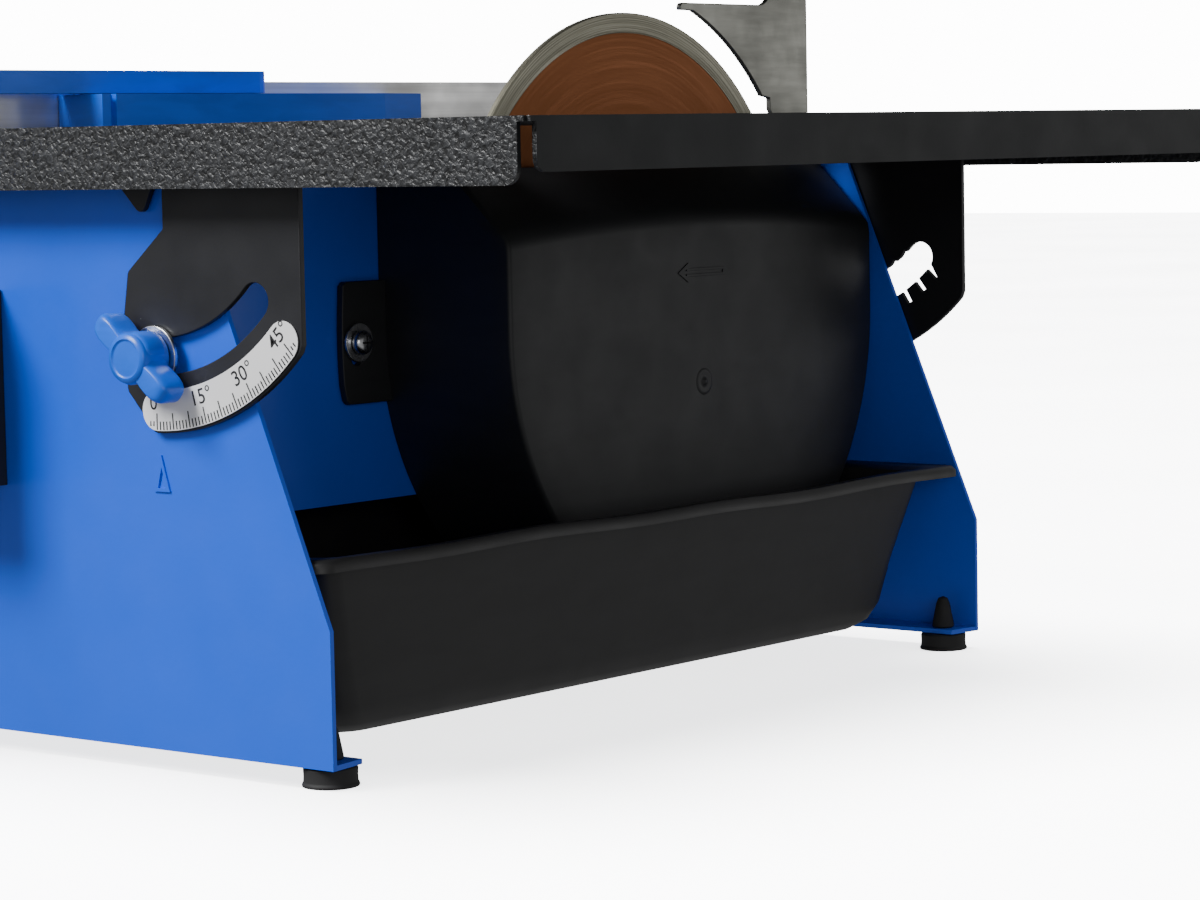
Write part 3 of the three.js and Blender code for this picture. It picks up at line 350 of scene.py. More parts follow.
def plate(name, outline, holes, axis, low, high, edge=0.25, steps=2):
    """A plate with holes: outlines are in the two other axes, from low to high along the axis."""
    curve = bpy.data.curves.new(name, "CURVE")
    curve.dimensions = "2D"
    curve.fill_mode = "BOTH"
    curve.extrude = (high - low) / 2 - edge
    curve.bevel_depth = edge
    curve.bevel_resolution = steps
    curve.offset = -edge
    for ring in [outline, *holes]:
        spline = curve.splines.new("POLY")
        spline.points.add(len(ring) - 1)
        spline.use_cyclic_u = True
        for point, (u, v) in zip(spline.points, ring):
            point.co = (u, v, 0, 1)
    holder = bpy.data.objects.new(name, curve)
    bpy.context.scene.collection.objects.link(holder)
    solid = holder.evaluated_get(bpy.context.evaluated_depsgraph_get()).to_mesh()
    middle = (low + high) / 2
    points = [mm(*AXES[axis](v.co.x, v.co.y, v.co.z + middle)) for v in solid.vertices]
    faces = [tuple(face.vertices) for face in solid.polygons]
    bpy.data.objects.remove(holder)
    return flatten(smooth(tidy(new_object(name, points, faces)), 40))


def arc(centre, radius, start, end, steps):
    """Points round a centre; degrees from the first axis towards the second."""
    made = []
    for i in range(steps + 1):
        angle = math.radians(start + (end - start) * i / steps)
        made.append((centre[0] + radius * math.cos(angle), centre[1] + radius * math.sin(angle)))
    return made


def lathe(name, profile, axis, centre, segments=96, closed=False):
    """Turns [radius, along] points round an axis; centre holds the other two coordinates."""
    points, faces = [], []
    count = len(profile)
    for i in range(segments):
        angle = 2 * math.pi * i / segments
        for radius, along in profile:
            u = centre[0] + radius * math.cos(angle)
            v = centre[1] + radius * math.sin(angle)
            points.append(mm(*AXES[axis](u, v, along)))
    for i in range(segments):
        a, b = i * count, ((i + 1) % segments) * count
        for k in range(count if closed else count - 1):
            n = (k + 1) % count
            faces.append((a + k, b + k, b + n, a + n))
    return tidy(new_object(name, points, faces))


def profile_of(node, axis):
    """The half-section of a turned CAD node: ([radius, along] points in mm, centre, closed)."""
    mesh = frame["nodes"][node].data
    low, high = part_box(node)
    order = {"x": (1, 2, 0), "y": (0, 2, 1), "z": (0, 1, 2)}[axis]
    middle = [(low[i] + high[i]) / 2 for i in order[:2]]
    keys = []
    for vertex in mesh.vertices:
        u, v = vertex.co[order[0]] - middle[0], vertex.co[order[1]] - middle[1]
        along = vertex.co[order[2]] - ZERO[order[2]]
        keys.append((round(math.hypot(u, v) * 1e3, 1), round(along * 1e3, 1)))
    links = {key: set() for key in keys}
    for edge in mesh.edges:
        a, b = (keys[i] for i in edge.vertices)
        if a != b:
            links[a].add(b)
            links[b].add(a)
    ends = [key for key, others in links.items() if len(others) == 1]
    path = [min(ends) if ends else min(links)]
    while True:
        onward = [key for key in links[path[-1]] if key not in path]
        if not onward:
            break
        path.append(min(onward, key=lambda key: math.dist(key, path[-1])))
    if ends:
        path = [(0.0, path[0][1])] * (path[0][0] > 0) + path + [(0.0, path[-1][1])] * (path[-1][0] > 0)
    centre = [(middle[k] - ZERO[order[k]]) * 1e3 for k in (0, 1)]
    return path, centre, not ends


def turn_again(node, axis, body, material, slot, edge=0.3, segments=96):
    """Rebuilds a turned CAD node with a fine round shape and softened edges."""
    path, centre, closed = profile_of(node, axis)
    made = lathe("fine_" + node, path, axis, centre, segments, closed)
    soften(made, edge, 3, 28)
    return mount(made, body, material, slot, node)


def block(name, x, y, z, edge=0.5, steps=3):
    """A box with rounded edges between two values on each axis."""
    points = [mm(a, b, c) for a in x for b in y for c in z]
    faces = [(0, 1, 3, 2), (4, 6, 7, 5), (0, 4, 5, 1), (2, 3, 7, 6), (0, 2, 6, 4), (1, 5, 7, 3)]
    return soften(tidy(new_object(name, points, faces)), edge, steps)


def loft(name, rings, close_end=False):
    """Joins rings of equal length with quads; the last ring can be capped."""
    count = len(rings[0])
    points = [point for ring in rings for point in ring]
    faces = []
    for level in range(len(rings) - 1):
        for i in range(count):
            a, b = level * count + i, level * count + (i + 1) % count
            faces.append((a, b, b + count, a + count))
    if close_end:
        faces.append(tuple(range((len(rings) - 1) * count, len(rings) * count)))
    return tidy(new_object(name, points, faces))


def thicken(thing, thickness, offset):
    """Gives a surface a wall: offset -1 grows it against the face normals, 1 along them."""
    solidify = thing.modifiers.new("wall", "SOLIDIFY")
    solidify.thickness = thickness * 0.001
    solidify.offset = offset
    return thing


def dress(node, material, edge=0.4, steps=2):
    """Keeps a CAD node and only rounds its edges and paints it."""
    thing = frame["nodes"][node]
    thing.data.materials.clear()
    thing.data.materials.append(material)
    soften(thing, edge, steps)
    return thing


# ---------------------------------------------------------------- base

for node in ("front_panel", "rear_panel", "motor_wall", "left_cover", "bottom_plate"):
    dress(node, blue_paint, 0.35)
for node in ("tray_ledge_front", "tray_ledge_rear"):
    dress(node, blue_paint, 0.3)


def foot(node):
    """Rubber foot: a lipped pad under the flange and the pulled-through nub above it."""
    low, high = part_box(node)
    centre = [((low[i] + high[i]) / 2 - ZERO[i]) * 1e3 for i in (0, 1)]
    profile = [(0, 0.4), (5.6, 0.4), (6, 0), (8, 0), (8.2, 0.3), (8.2, 0.8), (7.8, 1.4), (7.7, 3)]
    profile += [(7.8, 5.2), (7.4, 5.7), (3, 5.7), (3, 7.8), (3.8, 7.8), (3.8, 8.6)]
    profile += [(2.4, 15.8), (1.6, 17.8), (0, 18.4)]
    made = soften(lathe("fine_" + node, profile, "z", centre, 64), 0.2, 2, 28)
    mount(made, "base", foot_rubber, "rubber_feet", node)


for corner in ("front_right", "front_left", "rear_right", "rear_left"):
    foot("foot_" + corner)

# ---------------------------------------------------------------- water tray


def rounded_ring(x0, x1, y0, y1, radius, z, wave=0.0):
    """A rectangle with round corners at height z; wave makes its height rise and fall along y."""
    corners = [(x1 - radius, y0 + radius, -90), (x1 - radius, y1 - radius, 0)]
    corners += [(x0 + radius, y1 - radius, 90), (x0 + radius, y0 + radius, 180)]
    bends = [arc((x, y), radius, start, start + 90, 8) for x, y, start in corners]
    ring = []
    for k, points in enumerate(bends):
        ring += points
        (xa, ya), (xb, yb) = points[-1], bends[(k + 1) % 4][0]
        ring += [(xa + (xb - xa) * i / 24, ya + (yb - ya) * i / 24) for i in range(1, 24)]
    return [mm(x, y, z + wave * math.sin(y / 21.0) * math.cos(y / 47.0 + 1)) for x, y in ring]


def water_tray():
    rings = [
        rounded_ring(-64, 56, 3, 327, 5, 60.2, 0.7),
        rounded_ring(-64, 56, 3, 327, 5, 61.8, 0.7),
        rounded_ring(-63.5, 55.5, 3.5, 326.5, 4.8, 62.4, 0.7),
        rounded_ring(-61.6, 53.6, 8, 313, 7, 62.4, 0.7),
        rounded_ring(-60.9, 52.9, 8.8, 311.6, 7, 61.8, 0.5),
        rounded_ring(-60.4, 52.4, 9.2, 311, 7, 59, 0.2),
        rounded_ring(-56, 48, 15, 303, 9, 34),
        rounded_ring(-53.8, 46, 19, 299, 10, 19),
        rounded_ring(-51.6, 43.8, 21.5, 296, 11, 13.5),
        rounded_ring(-48, 40, 25.5, 291.5, 12, 10.6),
        rounded_ring(-42, 34, 32, 285, 12, 9.8),
        rounded_ring(-4, 4, 140, 180, 3.9, 9.8),
    ]
    made = smooth(thicken(loft("fine_water_tray", rings, True), 1.5, 1), 50)
    mount(made, "base", tray_plastic, "black_plastic", "water_tray")


water_tray()

# ---------------------------------------------------------------- blade cover below the table

GUARD_SCREW = (113.4, 116.8)
COVER = {"y": 228.0, "z": 119.0, "radius": 99.0, "face": 21.0, "wall": -31.7, "top": 170.5, "rear": 326.6}


def cover_bend(y):
    """Height of the bend between the flat face and the slanted top."""
    across = (y - COVER["y"]) / COVER["radius"]
    return 148.0 + 5.5 * (1 - across * across)


def cover_face(y, z):
    """x of the cover's outside at a point of its face, with the bend rounded."""
    above = z - cover_bend(y)
    return COVER["face"] - (above + math.sqrt(above * above + 1.2)) / 2


def flank_height(share, y):
    """z on the cover's upper flank: 0 is the middle of the circle, 0.6 the bend, 1 the open top."""
    bend = cover_bend(y)
    if share < 0.6:
        return COVER["z"] + (bend - COVER["z"]) * share / 0.6
    return bend + (COVER["top"] - bend) * (share - 0.6) / 0.4


def cover_spot(kind, value, inset):
    """y and z on the cover's outline, moved inwards by inset."""
    radius = COVER["radius"] - inset
    if kind == "arc":
        angle = math.radians(value)
        return COVER["y"] + radius * math.cos(angle), COVER["z"] + radius * math.sin(angle)
    y = COVER["y"] + (radius if kind == "right" else -radius)
    return y, flank_height(value, y)


def cover_wall_row(columns, edge, share):
    """A row across the side wall, which narrows by the draft towards the face."""
    row = []
    for kind, value in columns:
        y, z = cover_spot(kind, value, 0)
        front = cover_face(y, z) - edge
        x = COVER["wall"] + (front - COVER["wall"]) * share
        widen = 0.02 * (COVER["face"] - x) / (COVER["face"] - COVER["wall"])
        if y < COVER["y"]:
            y = COVER["y"] + (y - COVER["y"]) * (1 + widen)
        row.append(mm(x, min(y, COVER["rear"]), z))
    return row


def cover_edge_row(columns, edge, turn):
    """A row round the rounded edge between the side wall and the face."""
    angle = math.radians(turn)
    row = []
    for kind, value in columns:
        y, z = cover_spot(kind, value, edge * (1 - math.cos(angle)))
        x = cover_face(y, z) - edge + edge * math.sin(angle)
        row.append(mm(x, min(y, COVER["rear"]), z))
    return row


def cover_face_row(columns, edge, share):
    """A row on the face, drawn in towards the middle line; above the circle it follows the bend."""
    row = []
    for kind, value in columns:
        y, z = cover_spot(kind, value, edge)
        y += (COVER["y"] - y) * share
        if kind == "arc":
            z += (COVER["z"] - z) * share
        else:
            z = flank_height(value, y)
        row.append(mm(cover_face(y, z), y, z))
    return row


def cover_shell():
    """The cover as rows from the wall, round the edge and across the face to a middle line."""
    edge = 1.5
    columns = [("left", 1 - i / 15) for i in range(15)]
    columns += [("arc", 180 + 180 * i / 96) for i in range(97)]
    columns += [("right", i / 15) for i in range(1, 16)]
    rows = [cover_wall_row(columns, edge, step / 8) for step in range(9)]
    rows += [cover_edge_row(columns, edge, turn) for turn in (22, 45, 68, 90)]
    rows += [cover_face_row(columns, edge, step / 12) for step in range(1, 13)]
    count = len(columns)
    points = [point for row in rows for point in row]
    faces = []
    for level in range(len(rows) - 1):
        for i in range(count - 1):
            a = level * count + i
            faces.append((a, a + 1, a + 1 + count, a + count))
    return tidy(new_object("fine_guard_cover", points, faces))


def guard_ear():
    """The flange beside the cover with the short slot of its screw."""
    y, z = GUARD_SCREW
    top, bottom = (107.6, 134.8), 98.8
    outline = [(129.5, 97.3), (129.5, 136), (109, 136), top]
    for i in range(1, 8):
        hollow = 0.9 * math.sin(math.pi * i / 8)
        outline.append((top[0] - hollow, top[1] + (bottom - top[1]) * i / 8))
    outline += [(108.4, 98.6), (109.6, 97.3)]
    slot = arc((y, z), 2.7, 0, 180, 8) + arc((y, z - 4.6), 2.7, 180, 360, 8)
    ear = plate("guard_ear", outline, [slot], "x", COVER["wall"], COVER["wall"] + 2.5, 0.4)
    mount(ear, "base", black_plastic, "black_plastic")


def arrow_outline(tip, head, tail, middle, wide, narrow):
    """An arrow that points to the front; wide and narrow are the half heights of head and shaft."""
    return [
        (tip, middle),
        (head, middle + wide),
        (head, middle + narrow),
        (tail, middle + narrow),
        (tail, middle - narrow),
        (head, middle - narrow),
        (head, middle - wide),
    ]


def guard_marks():
    """A raised hollow arrow for the way the blade turns, and the mark left by the moulding gate."""
    face = COVER["face"]
    outside = arrow_outline(214.5, 220, 240, 134.8, 3.2, 1.4)
    inside = arrow_outline(217, 219, 239, 134.8, 1.1, 0.5)
    mark = plate("guard_arrow", outside, [inside], "x", face - 0.5, face + 0.35, 0.12, 1)
    mount(mark, "base", black_plastic, "black_plastic")
    profile = [(0, 0.9), (0.8, 0.8), (1.3, 0.15), (2.4, 0.08), (3.3, 0.25), (4.3, 0.1), (4.7, -0.3)]
    profile = [(radius, face + height) for radius, height in profile]
    gate = smooth(lathe("guard_gate", profile, "x", (228, 98.5), 40), 60)
    mount(gate, "base", black_plastic, "black_plastic")


shell = smooth(thicken(cover_shell(), 1.9, -1), 40)
mount(shell, "base", black_plastic, "black_plastic", "guard_cover")
guard_ear()
guard_marks()
turn_again("guard_washer", "x", "base", zinc, "bright_steel", 0.2, 64)

# ---------------------------------------------------------------- screws


def pan_screw(node, seat, radius):
    """Pan head on a plain shank, with a black cross painted on it as the shade of its cross recess; seat is
    the x of the head's underside.
    """
    low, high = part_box(node)
    y, z = [((low[i] + high[i]) / 2 - ZERO[i]) * 1e3 for i in (1, 2)]
    start = (low.x - ZERO.x) * 1e3
    profile = [(0, start), (radius * 0.5, start), (radius * 0.5, seat)]
    dome = [(1, 0), (1, 1.1), (0.92, 1.9), (0.7, 2.5), (0.4, 2.8), (0, 2.9)]
    profile += [(radius * share, seat + height) for share, height in dome]
    made = soften(lathe("fine_" + node, profile, "x", (y, z), 48), 0.15, 2, 40)
    mount(made, "base", zinc, "bright_steel", node)
    # The recess is not cut: two black bars set into the head paint its shade.
    depth = (seat + 1.6, seat + 2.93)
    for name, half_y, half_z in (("a", radius * 0.5, 0.35), ("b", 0.35, radius * 0.5)):
        sides = (y - half_y, y + half_y), (z - half_z, z + half_z)
        bar = block(node + "_shade_cross_" + name, depth, *sides, 0.1, 1)
        mount(bar, "base", ink_and_recess_shade, "bright_steel")


pan_screw("guard_screw", -27.6, 3.9)
pan_screw("knife_screw_1", -3.7, 3.6)
pan_screw("knife_screw_2", -3.7, 3.6)

# ---------------------------------------------------------------- motor

for node in ("motor_casing", "motor_front_shield", "motor_rear_shield"):
    dress(node, cast_metal, 0.5)
for node, body in (("stator", "base"), ("rotor", "arbor")):
    turn_again(node, "x", body, dark_steel, "dark_steel")
for node, body in (("bearing_front", "base"), ("bearing_rear", "base"), ("motor_shaft", "arbor")):
    turn_again(node, "x", body, steel_turned, "bright_steel", 0.4)
dress("cooling_fan", black_plastic, 0.4)
turn_again("capacitor", "y", "base", black_plastic, "black_plastic", 1.2)

# ---------------------------------------------------------------- blade


BLADE_Y, BLADE_Z = (BLADE_AXIS.y - ZERO.y) * 1e3, (BLADE_AXIS.z - ZERO.z) * 1e3


def blade():
    """A thin copper-coloured core inside a thicker abrasive rim."""
    x = (BLADE_AXIS.x - ZERO.x) * 1e3
    core = [(12.7, x + 0.8), (83.6, x + 0.8), (83.6, x - 0.8), (12.7, x - 0.8)]
    disc = soften(lathe("blade_core", core, "x", (BLADE_Y, BLADE_Z), 256, True), 0.1, 1)
    mount(disc, "arbor", copper_core, "blade", "blade")
    half = [(83.3, 0.95), (84.2, 1.1), (89.6, 1.1), (90, 0.7)]
    rim = [(radius, x + away) for radius, away in half]
    rim += [(radius, x - away) for radius, away in reversed(half)]
    edge = smooth(lathe("blade_rim", rim, "x", (BLADE_Y, BLADE_Z), 256, True), 30)
    mount(edge, "arbor", diamond_rim, "blade")


blade()
for node in ("inner_flange", "outer_flange"):
    turn_again(node, "x", "arbor", steel_turned, "bright_steel", 0.4)
dress("arbor_nut", zinc, 0.5, 3)

# ---------------------------------------------------------------- riving knife and hood

dress("knife_bracket", zinc, 0.5)


def riving_knife():
    """The curved plate behind the blade, which rises to carry the hood."""
    hood_y, hood_z = [(JOINTS["hood_lift"]["pos_m"][i] - ZERO[i]) * 1e3 for i in (1, 2)]
    outline = arc((BLADE_Y, BLADE_Z), 99.4, 14, 35.5, 16) + [(302.4, 191.8), (302.1, 192.4), (297.6, 193.1)]
    outline += arc((BLADE_Y, BLADE_Z), 98.5, 40, 68, 24)
    outline += arc((253.1, 223.0), 1.6, 215, 90, 6) + [(296, 224.6)] + arc((297, 231.3), 6.7, 270, 360, 10)
    outline += [(303.8, 240)] + arc((hood_y, hood_z), 10.7, 180, 0, 32)
    outline += [(325.2, 184), (324, 176), (324, 154.7)]
    holes = [arc((hood_y, hood_z), 3.3, 0, 345, 23)]
    holes += [arc(centre, 2.2, 0, 345, 15) for centre in ((319.4, 160.5), (316, 170.8))]
    made = plate("fine_riving_knife", outline, holes, "x", -6, -4, 0.3)
    mount(made, "base", knife_steel, "dark_steel", "riving_knife")


riving_knife()
dress("blade_hood", black_plastic, 1.6, 4)
turn_again("hood_bolt", "x", "base", zinc, "bright_steel")

# ---------------------------------------------------------------- wing knobs


def wing_outline(reach, hub):
    """(radius, angle) round a knob: two rounded wings that flow into a round hub."""
    ring = []
    for i in range(120):
        angle = 2 * math.pi * i / 120
        turn = abs((angle + math.pi / 2) % math.pi - math.pi / 2)
        wing = (reach - hub) * math.exp(-((turn / math.radians(19)) ** 4))
        pinch = 0.8 * math.exp(-(((turn - math.radians(42)) / math.radians(12)) ** 2))
        ring.append((hub + wing - pinch, angle))
    return ring


def wing_knob(node, origin, forward, across, length, reach, screw=0.0):
    """A wing knob whose seat is at origin; forward points to its free end, across along its wings."""
    name = node.replace("_knob", "").replace("knob_", "")
    forward, across = Vector(forward).normalized(), Vector(across).normalized()
    up = forward.cross(across)

    def ring(places, height):
        centre = Vector(origin) + forward * height
        return [mm(*(centre + across * r * math.cos(a) + up * r * math.sin(a))) for r, a in places]

    def turned(levels, steps):
        around = [2 * math.pi * i / steps for i in range(steps)]
        return [ring([(radius, a) for a in around], height) for radius, height in levels]

    wing_levels = [(4.4, 1.2), (0.6, 1.2), (0.15, 1.6), (0, 2.4), (0, length - 3.6), (0.3, length - 2.5)]
    wing_levels += [(1.1, length - 1.6), (2.3, length - 1.2), (3.4, length - 1.1)]
    shape = wing_outline(reach, 7.8)
    rings = [ring([(max(r - inset, 1.0), a) for r, a in shape], height) for inset, height in wing_levels]
    wings = smooth(loft(name + "_wings", rings, True), 60)
    work = bmesh.new()
    work.from_mesh(wings.data)
    bmesh.ops.holes_fill(work, edges=work.edges)
    work.to_mesh(wings.data)
    work.free()
    mount(wings, node, blue_plastic, "blue_plastic", node)
    levels = [(3.3, length - 3), (3.3, 0), (6.9, 0), (7.2, 0.4), (7.2, length - 1.6), (6.8, length - 0.7)]
    levels += [(5.6, length - 0.35), (5.2, length - 0.8), (4.8, length - 0.8), (3.0, length - 0.55)]
    levels += [(0.02, length - 0.5)]
    hub = smooth(loft(name + "_hub", turned(levels, 64)), 50)
    mount(hub, node, blue_plastic, "blue_plastic")
    if screw:
        levels = [(0.1, -screw), (2.6, -screw), (3, -screw + 0.5), (3, 0.5)]
        shank = smooth(loft(name + "_screw", turned(levels, 32)), 40)
        mount(shank, node, zinc, "bright_steel")


CLAMP_Z = 119.9
TILT = math.radians(40)
CLAMP_WINGS = (math.cos(TILT), 0, -math.sin(TILT))
wing_knob("front_clamp_knob", (0, -4.4, CLAMP_Z), (0, -1, 0), CLAMP_WINGS, 11, 17)
wing_knob("rear_clamp_knob", (0, 334.4, CLAMP_Z), (0, 1, 0), CLAMP_WINGS, 11, 17)
wing_knob("fence_knob_front", (-127, -28.3, 172), (0, -1, 0), (1, 0, 0), 11, 14, 13)
wing_knob("fence_knob_rear", (-127, 358.3, 172), (0, 1, 0), (1, 0, 0), 11, 14, 13)
wing_knob("hood_knob", (6.3, 314.5, 256), (1, 0, 0), (0, 0, 1), 13, 15)
for side in ("front", "rear"):
    turn_again(side + "_clamp_washer", "y", "base", zinc, "bright_steel", 0.25)
    turn_again(side + "_clamp_bolt", "y", "base", zinc, "bright_steel", 0.3, 48)
    turn_again("pivot_rivet_" + side, "y", "base", dark_steel, "dark_steel", 0.4, 48)

# ---------------------------------------------------------------- table


def table_top():
    """Wrinkle paint on the top and the ends; the long side flanges get a darker, smoother copy of the black
    with weaker reflections, as painted shade.
    """
    table = frame["nodes"]["table_top"]
    mesh = table.data
    top = max(vertex.co.z for vertex in mesh.vertices)
    sides = [(min(v.co[i] for v in mesh.vertices), max(v.co[i] for v in mesh.vertices)) for i in (0, 1)]
    weights = mesh.attributes.new("bevel_weight_edge", "FLOAT", "EDGE")
    for edge in mesh.edges:
        ends = [mesh.vertices[i].co for i in edge.vertices]
        on_top = all(abs(end.z - top) < 1e-5 for end in ends)
        on_side = any(all(abs(end[i] - side) < 1e-5 for end in ends) for i in (0, 1) for side in sides[i])
        weights.data[edge.index].value = 1.0 if on_top and on_side else 0.0
    bend = table.modifiers.new("bend", "BEVEL")
    bend.limit_method = "WEIGHT"
    bend.width = 0.0024
    bend.segments = 6
    bend.use_clamp_overlap = False
    dress("table_top", black_leather, 0.35, 2)
    # Faces towards the sides take the darker copy as painted shade.
    mesh.materials.append(shaded_side_black)
    for face in mesh.polygons:
        if abs(face.normal.x) > 0.9:
            face.material_index = 1


table_top()

# ---------------------------------------------------------------- tilt sectors and dial

SECTOR_RADIUS = 77.0
SLOT_RADIUS = 55.1
SLOT_HALF = 5.2
SECTOR_RIGHT = 56.7
PIVOT_Z = (PIVOT.z - ZERO.z) * 1e3
PIVOT_EAR = [(-13.5, 182), (-12.8, 167.6), (-6.7, 161.5), (-5.6, 160.9), (-4.6, 160.9), (-3.5, 161.7)]
PIVOT_EAR += [(-0.9, 166.9), (-0.3, 170.2), (0.6, 170.8), (3.0, 170.8), (3.7, 170.1)]


def turned_point(radius, angle):
    """A point at a radius from the tilt axis; the angle is in degrees from straight down."""
    turn = math.radians(angle - 90)
    return radius * math.cos(turn), PIVOT_Z + radius * math.sin(turn)


def sector_outline():
    """The sector's edge from the table down its left side, round the arc and up the right side."""
    corner = math.degrees(math.asin(SECTOR_RIGHT / SECTOR_RADIUS))
    points = [(3.7, 182.0), (3.7, 156.3), (3.5, 155.9), (-10.7, 144.0), (-11.0, 143.4), (-13.3, 129.2)]
    points += [(-12.3, 110.4), (-11.9, 109.4), (-6.2, 103.2), (-1.8, 98.3)]
    points += [turned_point(SECTOR_RADIUS, -0.4 + (corner - 0.6) * i / 48) for i in range(49)]
    return points + [(SECTOR_RIGHT, 124.2), (SECTOR_RIGHT, 182.0)]


def slot_outline(radius, half, start, end):
    """A slot with round ends along an arc about the tilt axis."""
    first, last = turned_point(radius, start), turned_point(radius, end)
    points = [turned_point(radius + half, start + (end - start) * i / 40) for i in range(41)]
    points += arc(last, half, end - 90, end + 90, 16)[1:-1]
    points += [turned_point(radius - half, end + (start - end) * i / 40) for i in range(41)]
    return points + arc(first, half, start + 90, start + 270, 16)[1:-1]


def notched_slot():
    """The rear slot: square notches below and saw teeth above, one pair for each step."""
    points = []
    step = 45.0 / 7
    for i in range(0, 226):
        angle = 45.0 * i / 225
        nearest = round(angle / step) * step
        deep = abs(angle - nearest) < 0.9
        points.append(turned_point(65.0 if deep else 60.3, angle))
    points += arc(turned_point(SLOT_RADIUS, 45), SLOT_HALF, -45, 135, 12)[1:-1]
    for i in range(225, -1, -1):
        angle = 45.0 * i / 225
        part = (angle / step) % 1.0
        tooth = 2.0 * part if part < 0.5 else 0.0
        points.append(turned_point(49.9 - tooth, angle))
    return points + arc(turned_point(SLOT_RADIUS, 0), SLOT_HALF, 90, 270, 12)[1:-1]


def sector(name, node, faces, slot, shelf):
    """A sector plate with its pivot ear, and the flange that holds it under the table."""
    hole = arc((0, PIVOT_Z), 3.3, 0, 345, 23)
    made = plate(name, PIVOT_EAR + sector_outline()[1:], [slot, hole], "y", faces[0], faces[1], 0.3)
    mount(made, "table", dusty_black, "black_sheet", node)
    top = block(name + "_flange", (-9, SECTOR_RIGHT), shelf, (182.0, 183.4), 0.5)
    mount(top, "table", black_paint, "black_sheet")


plain_slot = slot_outline(SLOT_RADIUS, SLOT_HALF, 0, 45)
sector("fine_front_sector", "front_sector", (-2.5, -0.5), plain_slot, (-13, -0.6))
sector("fine_rear_sector", "rear_sector", (330.5, 332.5), notched_slot(), (330.6, 343))


def dial():
    """The silver dial film with its graduations and degree numbers."""
    front = (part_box("scale_label")[0].y - ZERO.y) * 1e3
    made = plate("dial_film", slot_outline(70.55, 5.75, 0, 45), [], "y", front, front + 0.3, 0.05, 1)
    mount(made, "table", film, "dial_film", "scale_label")
    points, faces = [], []
    half = 0.22
    for degree in range(-2, 48):
        inner = 71.3 if degree % 5 == 0 else 73.6
        turn = math.radians(degree - 90)
        along = Vector((math.cos(turn), math.sin(turn)))
        side = Vector((-math.sin(turn), math.cos(turn)))
        a = len(points)
        outer = 76.0 if 0 <= degree <= 45 else 75.0
        for radius, shift in ((inner, -half), (outer, -half), (outer, half), (inner, half)):
            place = along * radius + side * shift
            for depth in (front - 0.05, front + 0.02):
                points.append(mm(place.x, depth, PIVOT_Z + place.y))
        faces += [(a, a + 2, a + 4, a + 6), (a + 1, a + 7, a + 5, a + 3)]
        faces += [(a + 2 * k, a + 2 * k + 1, a + (2 * k + 3) % 8, a + (2 * k + 2) % 8) for k in range(4)]
    mount(tidy(new_object("dial_ticks", points, faces)), "table", ink_and_recess_shade, "dial_film")
    for degree in (0, 15, 30, 45):
        numeral(f"{degree}°", degree, front)


def numeral(words, degree, front):
    """A number on the dial, upright along the radius at that angle."""
    curve = bpy.data.curves.new("numeral", "FONT")
    curve.body = words
    curve.size = 6.2
    curve.offset = 0.012
    curve.align_x = "CENTER"
    curve.align_y = "CENTER"
    curve.extrude = 0.03
    holder = bpy.data.objects.new("numeral", curve)
    bpy.context.scene.collection.objects.link(holder)
    solid = holder.evaluated_get(bpy.context.evaluated_depsgraph_get()).to_mesh()
    x, z = turned_point(68.4, degree)
    turn = Matrix.Rotation(math.radians(degree), 2)
    points = []
    for vertex in solid.vertices:
        place = turn @ Vector((vertex.co.x, vertex.co.y))
        points.append(mm(x + place.x, front - 0.03 - vertex.co.z, z + place.y))
    faces = [tuple(face.vertices) for face in solid.polygons]
    bpy.data.objects.remove(holder)
    mount(tidy(new_object(f"numeral_{degree}", points, faces)), "table", ink_and_recess_shade, "dial_film")


dial()

# ---------------------------------------------------------------- fence, stop, switch, gland

dress("fence_bar", extruded, 0.4)
for side in ("front", "rear"):
    dress("fence_block_" + side, blue_plastic, 1.2, 3)
dress("angle_stop_base", blue_plastic, 0.7, 3)
dress("angle_stop_arm", blue_plastic, 0.8, 3)
turn_again("angle_stop_nut", "z", "angle_stop", black_plastic, "black_plastic", 0.6, 48)
dress("switch_box", black_plastic, 1.6, 4)
dress("start_button", green_cap, 0.9, 3)
dress("stop_button", red_cap, 0.9, 3)
turn_again("cable_gland", "y", "base", black_plastic, "black_plastic", 0.4, 64)

# ---------------------------------------------------------------- floor, light and camera


def floor():
    """A wide white sheet with a light of its own, so that it stays paler than the object."""
    size = 6.0
    corners = [(-size, -size, 0), (size, -size, 0), (size, size, 0), (-size, size, 0)]
    made = new_object("floor", corners, [(0, 1, 2, 3)])
    shader = Shader("floor", (0.9, 0.9, 0.91), 0.3)
    shader.surface.inputs["Specular IOR Level"].default_value = 0.3
    shader.surface.inputs["Emission Color"].default_value = (0.97, 0.98, 1, 1)
    shader.surface.inputs["Emission Strength"].default_value = 3.0
    shader.roughness(shader.spread(shader.noise(3, 4), 0.22, 0.3))
    made.data.materials.append(shader.material)
    made.visible_diffuse = False
    made.visible_glossy = False
    made.visible_shadow = False
    wash = bpy.data.lights.new("floor_wash", "SUN")
    wash.energy = 30.0
    wash.angle = math.radians(50)
    holder = bpy.data.objects.new("floor_wash", wash)
    bpy.context.scene.collection.objects.link(holder)
    lit = bpy.data.collections.new("floor_only")
    lit.objects.link(made)
    holder.light_linking.receiver_collection = lit


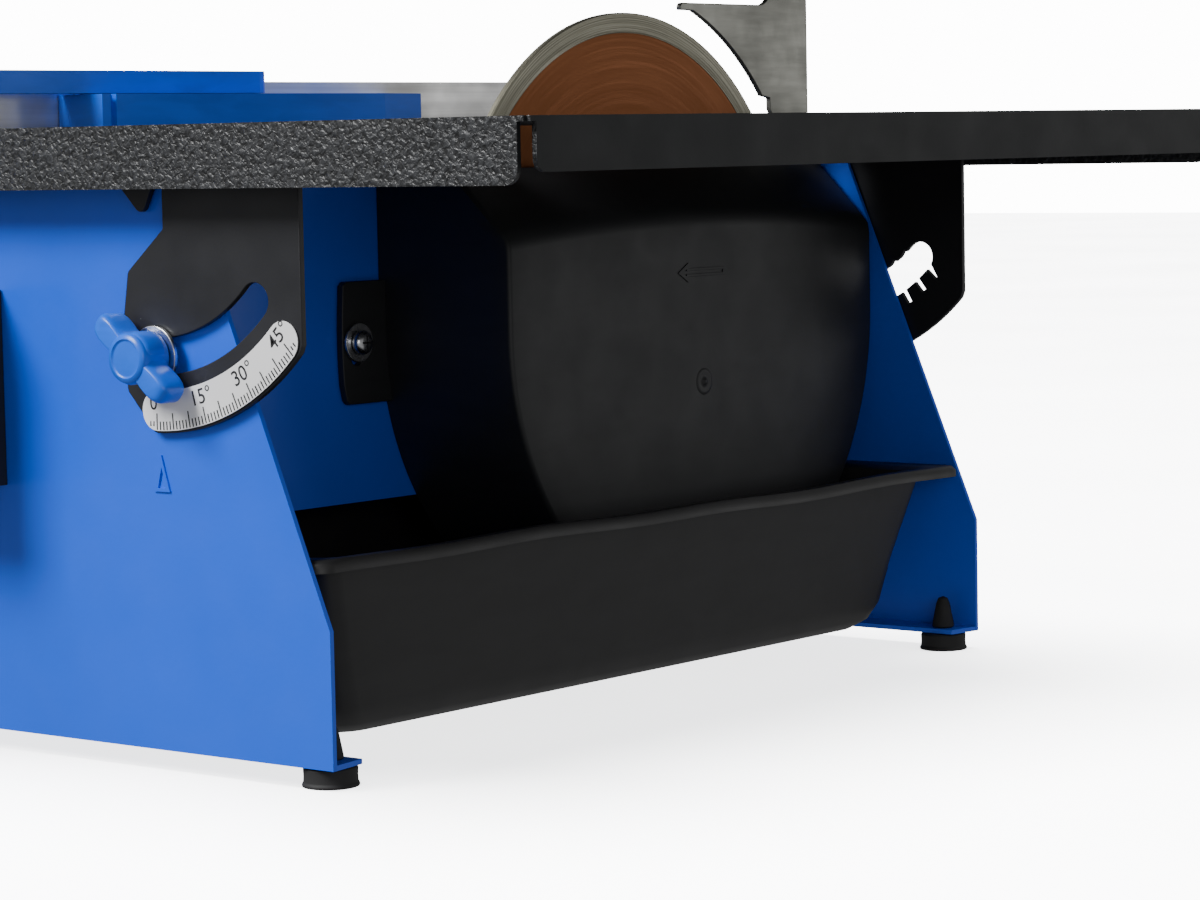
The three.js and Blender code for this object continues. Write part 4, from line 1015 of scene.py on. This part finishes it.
def area_light(name, place, target, width, height, power):
    light = bpy.data.lights.new(name, "AREA")
    light.shape = "RECTANGLE"
    light.size, light.size_y = width, height
    light.energy = power
    holder = bpy.data.objects.new(name, light)
    holder.location = place
    holder.rotation_euler = (Vector(target) - Vector(place)).to_track_quat("-Z", "Y").to_euler()
    bpy.context.scene.collection.objects.link(holder)


def world():
    """White behind the object, and a dimmer white for the light and reflections that fall on it."""
    made = bpy.data.worlds.new("studio")
    made.use_nodes = True
    tree = made.node_tree
    background = tree.nodes["Background"]
    background.inputs["Color"].default_value = (1, 1, 1, 1)
    backdrop = tree.nodes.new("ShaderNodeBackground")
    backdrop.inputs["Color"].default_value = (1, 1, 1, 1)
    background.inputs["Strength"].default_value = 0.3
    backdrop.inputs["Strength"].default_value = 14.0
    ray = tree.nodes.new("ShaderNodeLightPath")
    choose = tree.nodes.new("ShaderNodeMixShader")
    tree.links.new(ray.outputs["Is Camera Ray"], choose.inputs[0])
    tree.links.new(background.outputs[0], choose.inputs[1])
    tree.links.new(backdrop.outputs[0], choose.inputs[2])
    tree.links.new(choose.outputs[0], tree.nodes["World Output"].inputs["Surface"])
    bpy.context.scene.world = made


def camera():
    lens = bpy.data.cameras.new("camera")
    lens.sensor_width = 36
    lens.lens = 106.74
    lens.clip_end = 50
    holder = bpy.data.objects.new("camera", lens)
    right, up, back = (0.7819, 0.6232, -0.01922), (-0.0388, 0.0794, 0.99614), (0.6223, -0.7780, 0.08626)
    turn = Matrix([right, up, back]).transposed().to_4x4()
    holder.matrix_world = Matrix.Translation(mm(728.5, -712.6, 178.2)) @ turn
    bpy.context.scene.collection.objects.link(holder)
    bpy.context.scene.camera = holder


floor()
world()
area_light("key", (-0.75, -1.7, 1.7), (0, 0, 0.12), 1.0, 0.9, 95)
area_light("side", (1.7, -1.3, 0.45), (0, 0, 0.12), 0.9, 0.6, 5)
area_light("top", (0.0, 0.3, 1.8), (0, 0, 0.1), 1.4, 1.4, 20)
area_light("right", (1.5, 1.8, 0.25), (0, 0, 0.1), 1.2, 0.45, 2.2)
camera()
